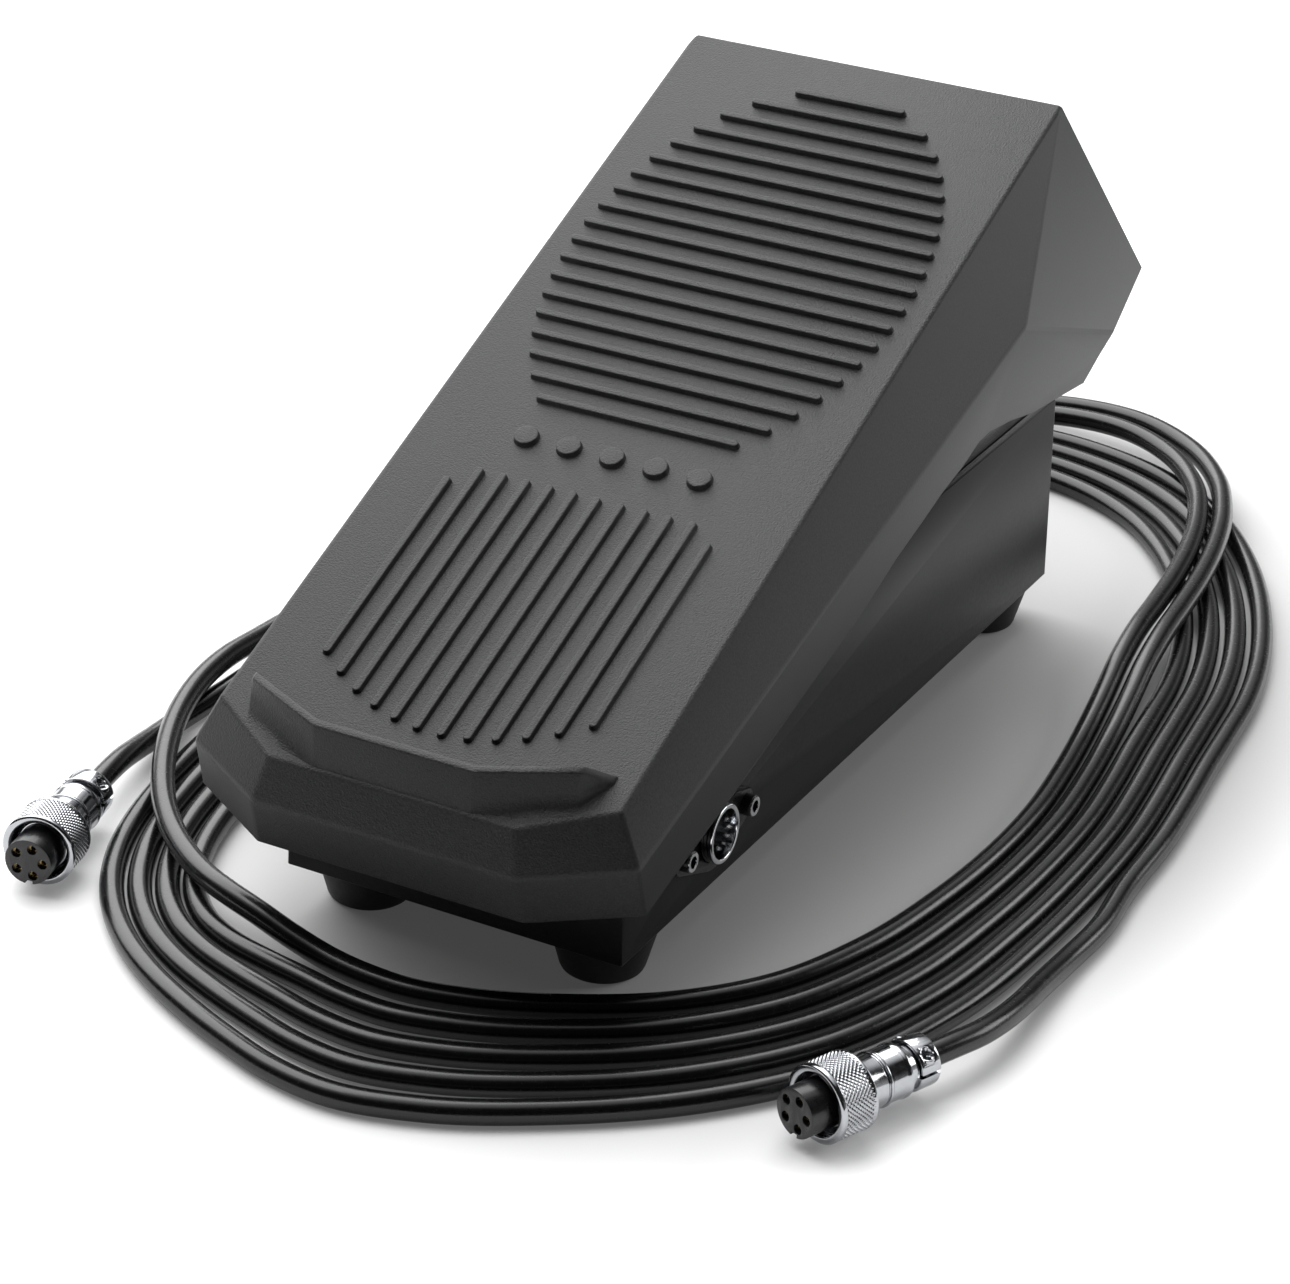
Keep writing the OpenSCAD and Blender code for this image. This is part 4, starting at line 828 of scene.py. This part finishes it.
plug_pieces = []
lower = math.pi / 2 - 0.06
for key in PLUGS:
    place, node = at_plug(key), "plug_" + key
    barrel = surface(node + "_turned", turned(BARREL, place, 96), closed=True)
    plug_pieces.append(stand_for(barrel, node + "_barrel"))
    cradle = surface(node + "_cradle", half_clamp(place, -lower, lower, 5.58))
    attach(cradle, "base")
    cradle.data.materials.append(FINISH["plug_chrome"])
    plug_pieces.append(cradle)
    plug_pieces.append(moulding(node + "_saddle", 0.25, 3, rim=1.0, short=0.0))
    nut = surface(node + "_coupling", turned(NUT, place, 400, knurl), closed=True,
                  sharp=math.radians(60))
    plug_pieces.append(stand_for(nut, node + "_nut"))
    plug_pieces.append(moulding(node + "_insert", 0.25, 3))
screws = moulding("saddle_screws", 0.2, 3, rim=1.0, short=0.0)
plug_pieces += [screws, cad["plug_contacts"]]
print(len(plug_pieces), "pieces on the plugs")

# %% [markdown]
# ## The return spring
#
# Six turns of wire, one closed turn at either end, stand between the base and the
# treadle's seat tube.

# %% The spring
SPRING_Y, SPRING_R, WIRE_R = 10, 8.35, 1.0
SPRING_LOW, SPRING_HIGH = 14.15 + WIRE_R, 51.4 - 0.15 - WIRE_R
CLOSED = 1.15 * 2 * WIRE_R
TURNS = 6
turn_at = np.linspace(0, TURNS, TURNS * 40 + 1)
free_rise = (SPRING_HIGH - SPRING_LOW - 2 * CLOSED) / (TURNS - 2)
rise_at = np.where(turn_at < 1, SPRING_LOW + CLOSED * turn_at,
                   np.where(turn_at > TURNS - 1, SPRING_HIGH - CLOSED * (TURNS - turn_at),
                            SPRING_LOW + CLOSED + free_rise * (turn_at - 1)))
helix = np.column_stack([SPRING_R * np.cos(2 * np.pi * turn_at),
                         SPRING_Y + SPRING_R * np.sin(2 * np.pi * turn_at), rise_at])
spring = stand_for(tube("return_spring_wire", helix, WIRE_R, 12), "return_spring")
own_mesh(spring)

# %% [markdown]
# ## The other mouldings and the mechanism
#
# The lid, pins, clips, screws, gears, switch and potentiometer keep their CAD shapes. Each
# gets a merged copy with narrow bevels, so that its edges catch the light.

# %% Narrow bevels on the rest
NARROW = {"base_lid": 0.5, "hinge_pin": 0.3, "hinge_clips": 0.15, "stop_bumpers": 0.8,
          "foot_screws": 0.2, "lid_screws": 0.2, "hinge_bushes": 0.25, "gear_sector": 0.15,
          "pot_bracket": 0.25, "pot_body": 0.4, "pot_nut": 0.2, "drive_pinion": 0.12,
          "pot_shaft": 0.2, "switch_case": 0.3, "switch_lever": 0.1, "switch_pin": 0.1,
          "bracket_screws": 0.15, "switch_screws": 0.12, "sector_screws": 0.12}
for node, width in NARROW.items():
    moulding(node, width, 2, rim=1.0, short=0.0)
for node, piece in cad.items():
    if node not in standing_in:
        piece.data.materials.clear()
        piece.data.materials.append(FINISH[slot_of[node]])
        print(node, "keeps its CAD mesh")

# %% [markdown]
# ## Floor and light
#
# The floor is a large pale plane whose shadow grounds the pedal. Painted shade darkens its
# colour in an oval inside the lead's turns, and it is paler outside them. A Light Path node
# tells the rays apart: camera and mirror rays see these tones with a faint glow that grows
# with distance and is weaker inside the oval, and diffuse rays see a dark grey, so little
# light comes back up on the black plastic.

# %% The tones of the floor, with painted shade inside the turns
# The oval of painted shade: its place and size in metres.
SHADE_OVAL_AT, SHADE_OVAL_SIZE = (0.012, 0.05, 0), (0.122, 0.208, 1)
SHADED_INSIDE, OUTSIDE = (0.5, 0.5, 0.5, 1), (0.88, 0.88, 0.88, 1)
BOUNCE = (0.22, 0.22, 0.22, 1)

bpy.ops.mesh.primitive_plane_add(size=12)
floor = bpy.context.object
floor.name = "floor"
floor_paint = bpy.data.materials.new("floor_paint")
floor_paint.use_nodes = True
tree = floor_paint.node_tree
shader = fill(tree.nodes["Principled BSDF"], Roughness=0.75, Specular_IOR_Level=0.1)
rays = tree.nodes.new("ShaderNodeLightPath").outputs
clear_rays = combine(tree, "MAXIMUM", rays["Is Camera Ray"], rays["Is Glossy Ray"])
clear_rays = combine(tree, "MAXIMUM", clear_rays, rays["Is Transmission Ray"])
place = tree.nodes.new("ShaderNodeTexCoord").outputs["Object"]
oval = tree.nodes.new("ShaderNodeMapping")
oval.vector_type = "TEXTURE"
fill(oval, Location=SHADE_OVAL_AT, Scale=SHADE_OVAL_SIZE)
length = tree.nodes.new("ShaderNodeVectorMath")
length.operation = "LENGTH"
tree.links.new(place, oval.inputs["Vector"])
tree.links.new(oval.outputs["Vector"], length.inputs[0])
away = length.outputs["Value"]
outside = ramp(tree, away, From_Min=0.8, From_Max=1.3)
# Painted shade: the floor's colour is darker inside the oval of the lead's turns.
tone = mix(tree, outside, SHADED_INSIDE, OUTSIDE)
seen = mix(tree, clear_rays, BOUNCE, OUTSIDE)
tree.links.new(tone.outputs["Result"], seen.inputs["B"])
tree.links.new(seen.outputs["Result"], shader.inputs["Base Color"])
print("floor tones", SHADED_INSIDE[0], "inside and", OUTSIDE[0], "outside")

# %% The glow of the floor
# Painted shade: the glow is weaker inside the oval, so the floor there stays dark.
near_glow = ramp(tree, outside, "LINEAR", To_Min=0.05, To_Max=0.2)
far_glow = ramp(tree, away, "LINEAR", From_Min=3, From_Max=14, To_Max=0.8)
total = combine(tree, "ADD", near_glow, far_glow)
glow = tree.nodes.new("ShaderNodeEmission")
tree.links.new(combine(tree, "MULTIPLY", clear_rays, total), glow.inputs["Strength"])
added = tree.nodes.new("ShaderNodeAddShader")
tree.links.new(shader.outputs[0], added.inputs[0])
tree.links.new(glow.outputs[0], added.inputs[1])
tree.links.new(added.outputs[0], tree.nodes["Material Output"].inputs["Surface"])
floor.data.materials.append(floor_paint)
print("floor of", len(tree.nodes), "nodes")

# %% [markdown]
# ## Lamps and surroundings
#
# One broad lamp stands overhead, to the left and to the rear. It puts a soft sheen on the
# sloping plate and leaves the near side dark, as on the real black plastic. A weak lamp at
# the rear right lights the flank.
#
# The world is white to the camera. To other rays it is dim, with a soft bright lobe
# overhead, and mirror rays also see a pale band low down at the rear.


# %% Two lamps
def area_lamp(name, place, target, size, power):
    """A rectangular lamp of this size and power, in metres and watts, that looks from
    place at target."""
    data = bpy.data.lights.new(name, "AREA")
    data.shape = "RECTANGLE"
    data.size, data.size_y = size
    data.energy = power
    lamp = bpy.data.objects.new(name, data)
    bpy.context.scene.collection.objects.link(lamp)
    aim = (Vector(target) - Vector(place)).to_track_quat("-Z", "Y")
    lamp.matrix_world = Matrix.Translation(place) @ aim.to_matrix().to_4x4()


area_lamp("overhead", (-0.9, 0.5, 1.25), (0, 0, 0.05), (2.2, 2.2), 43)
area_lamp("rear_right", (1.1, 1.0, 0.7), (0.05, 0.0, 0.12), (0.9, 0.5), 7)
print(len(bpy.data.lights), "lamps")

# %% The surroundings
world = bpy.data.worlds.new("surroundings")
bpy.context.scene.world = world
world.use_nodes = True
sky = world.node_tree
background = fill(sky.nodes["Background"], Color=(1, 1, 1, 1))
direction = sky.nodes.new("ShaderNodeTexCoord").outputs["Generated"]
toward = sky.nodes.new("ShaderNodeVectorMath")
toward.operation = "DOT_PRODUCT"
toward.inputs[1].default_value = (-0.36, 0.25, 0.9)
sky.links.new(direction, toward.inputs[0])
softbox = ramp(sky, toward.outputs["Value"], From_Min=0.55, From_Max=1.0, To_Min=0.02,
               To_Max=1.9)
split = sky.nodes.new("ShaderNodeSeparateXYZ")
sky.links.new(direction, split.inputs["Vector"])
low = ramp(sky, split.outputs["Z"], From_Min=0.4, From_Max=0.05, To_Max=0.45)
rear = ramp(sky, split.outputs["Y"], From_Min=-0.1, From_Max=0.5)
rays = sky.nodes.new("ShaderNodeLightPath").outputs
backdrop = combine(sky, "MULTIPLY", combine(sky, "MULTIPLY", low, rear),
                   rays["Is Glossy Ray"])
strength = combine(sky, "MAXIMUM", combine(sky, "ADD", softbox, backdrop),
                   rays["Is Camera Ray"])
sky.links.new(strength, background.inputs["Strength"])
bpy.context.scene.view_settings.view_transform = "Standard"
print("world of", len(sky.nodes), "nodes")

# %% [markdown]
# ## The plugs and the lead
#
# The lead is one free cord with a plug on either end.

# %% [markdown]
# ## The last update
#
# The view layer is brought up to date. The dressed model has to stay inside the CAD
# model's box.

# %% Update the view layer
bpy.context.view_layer.update()
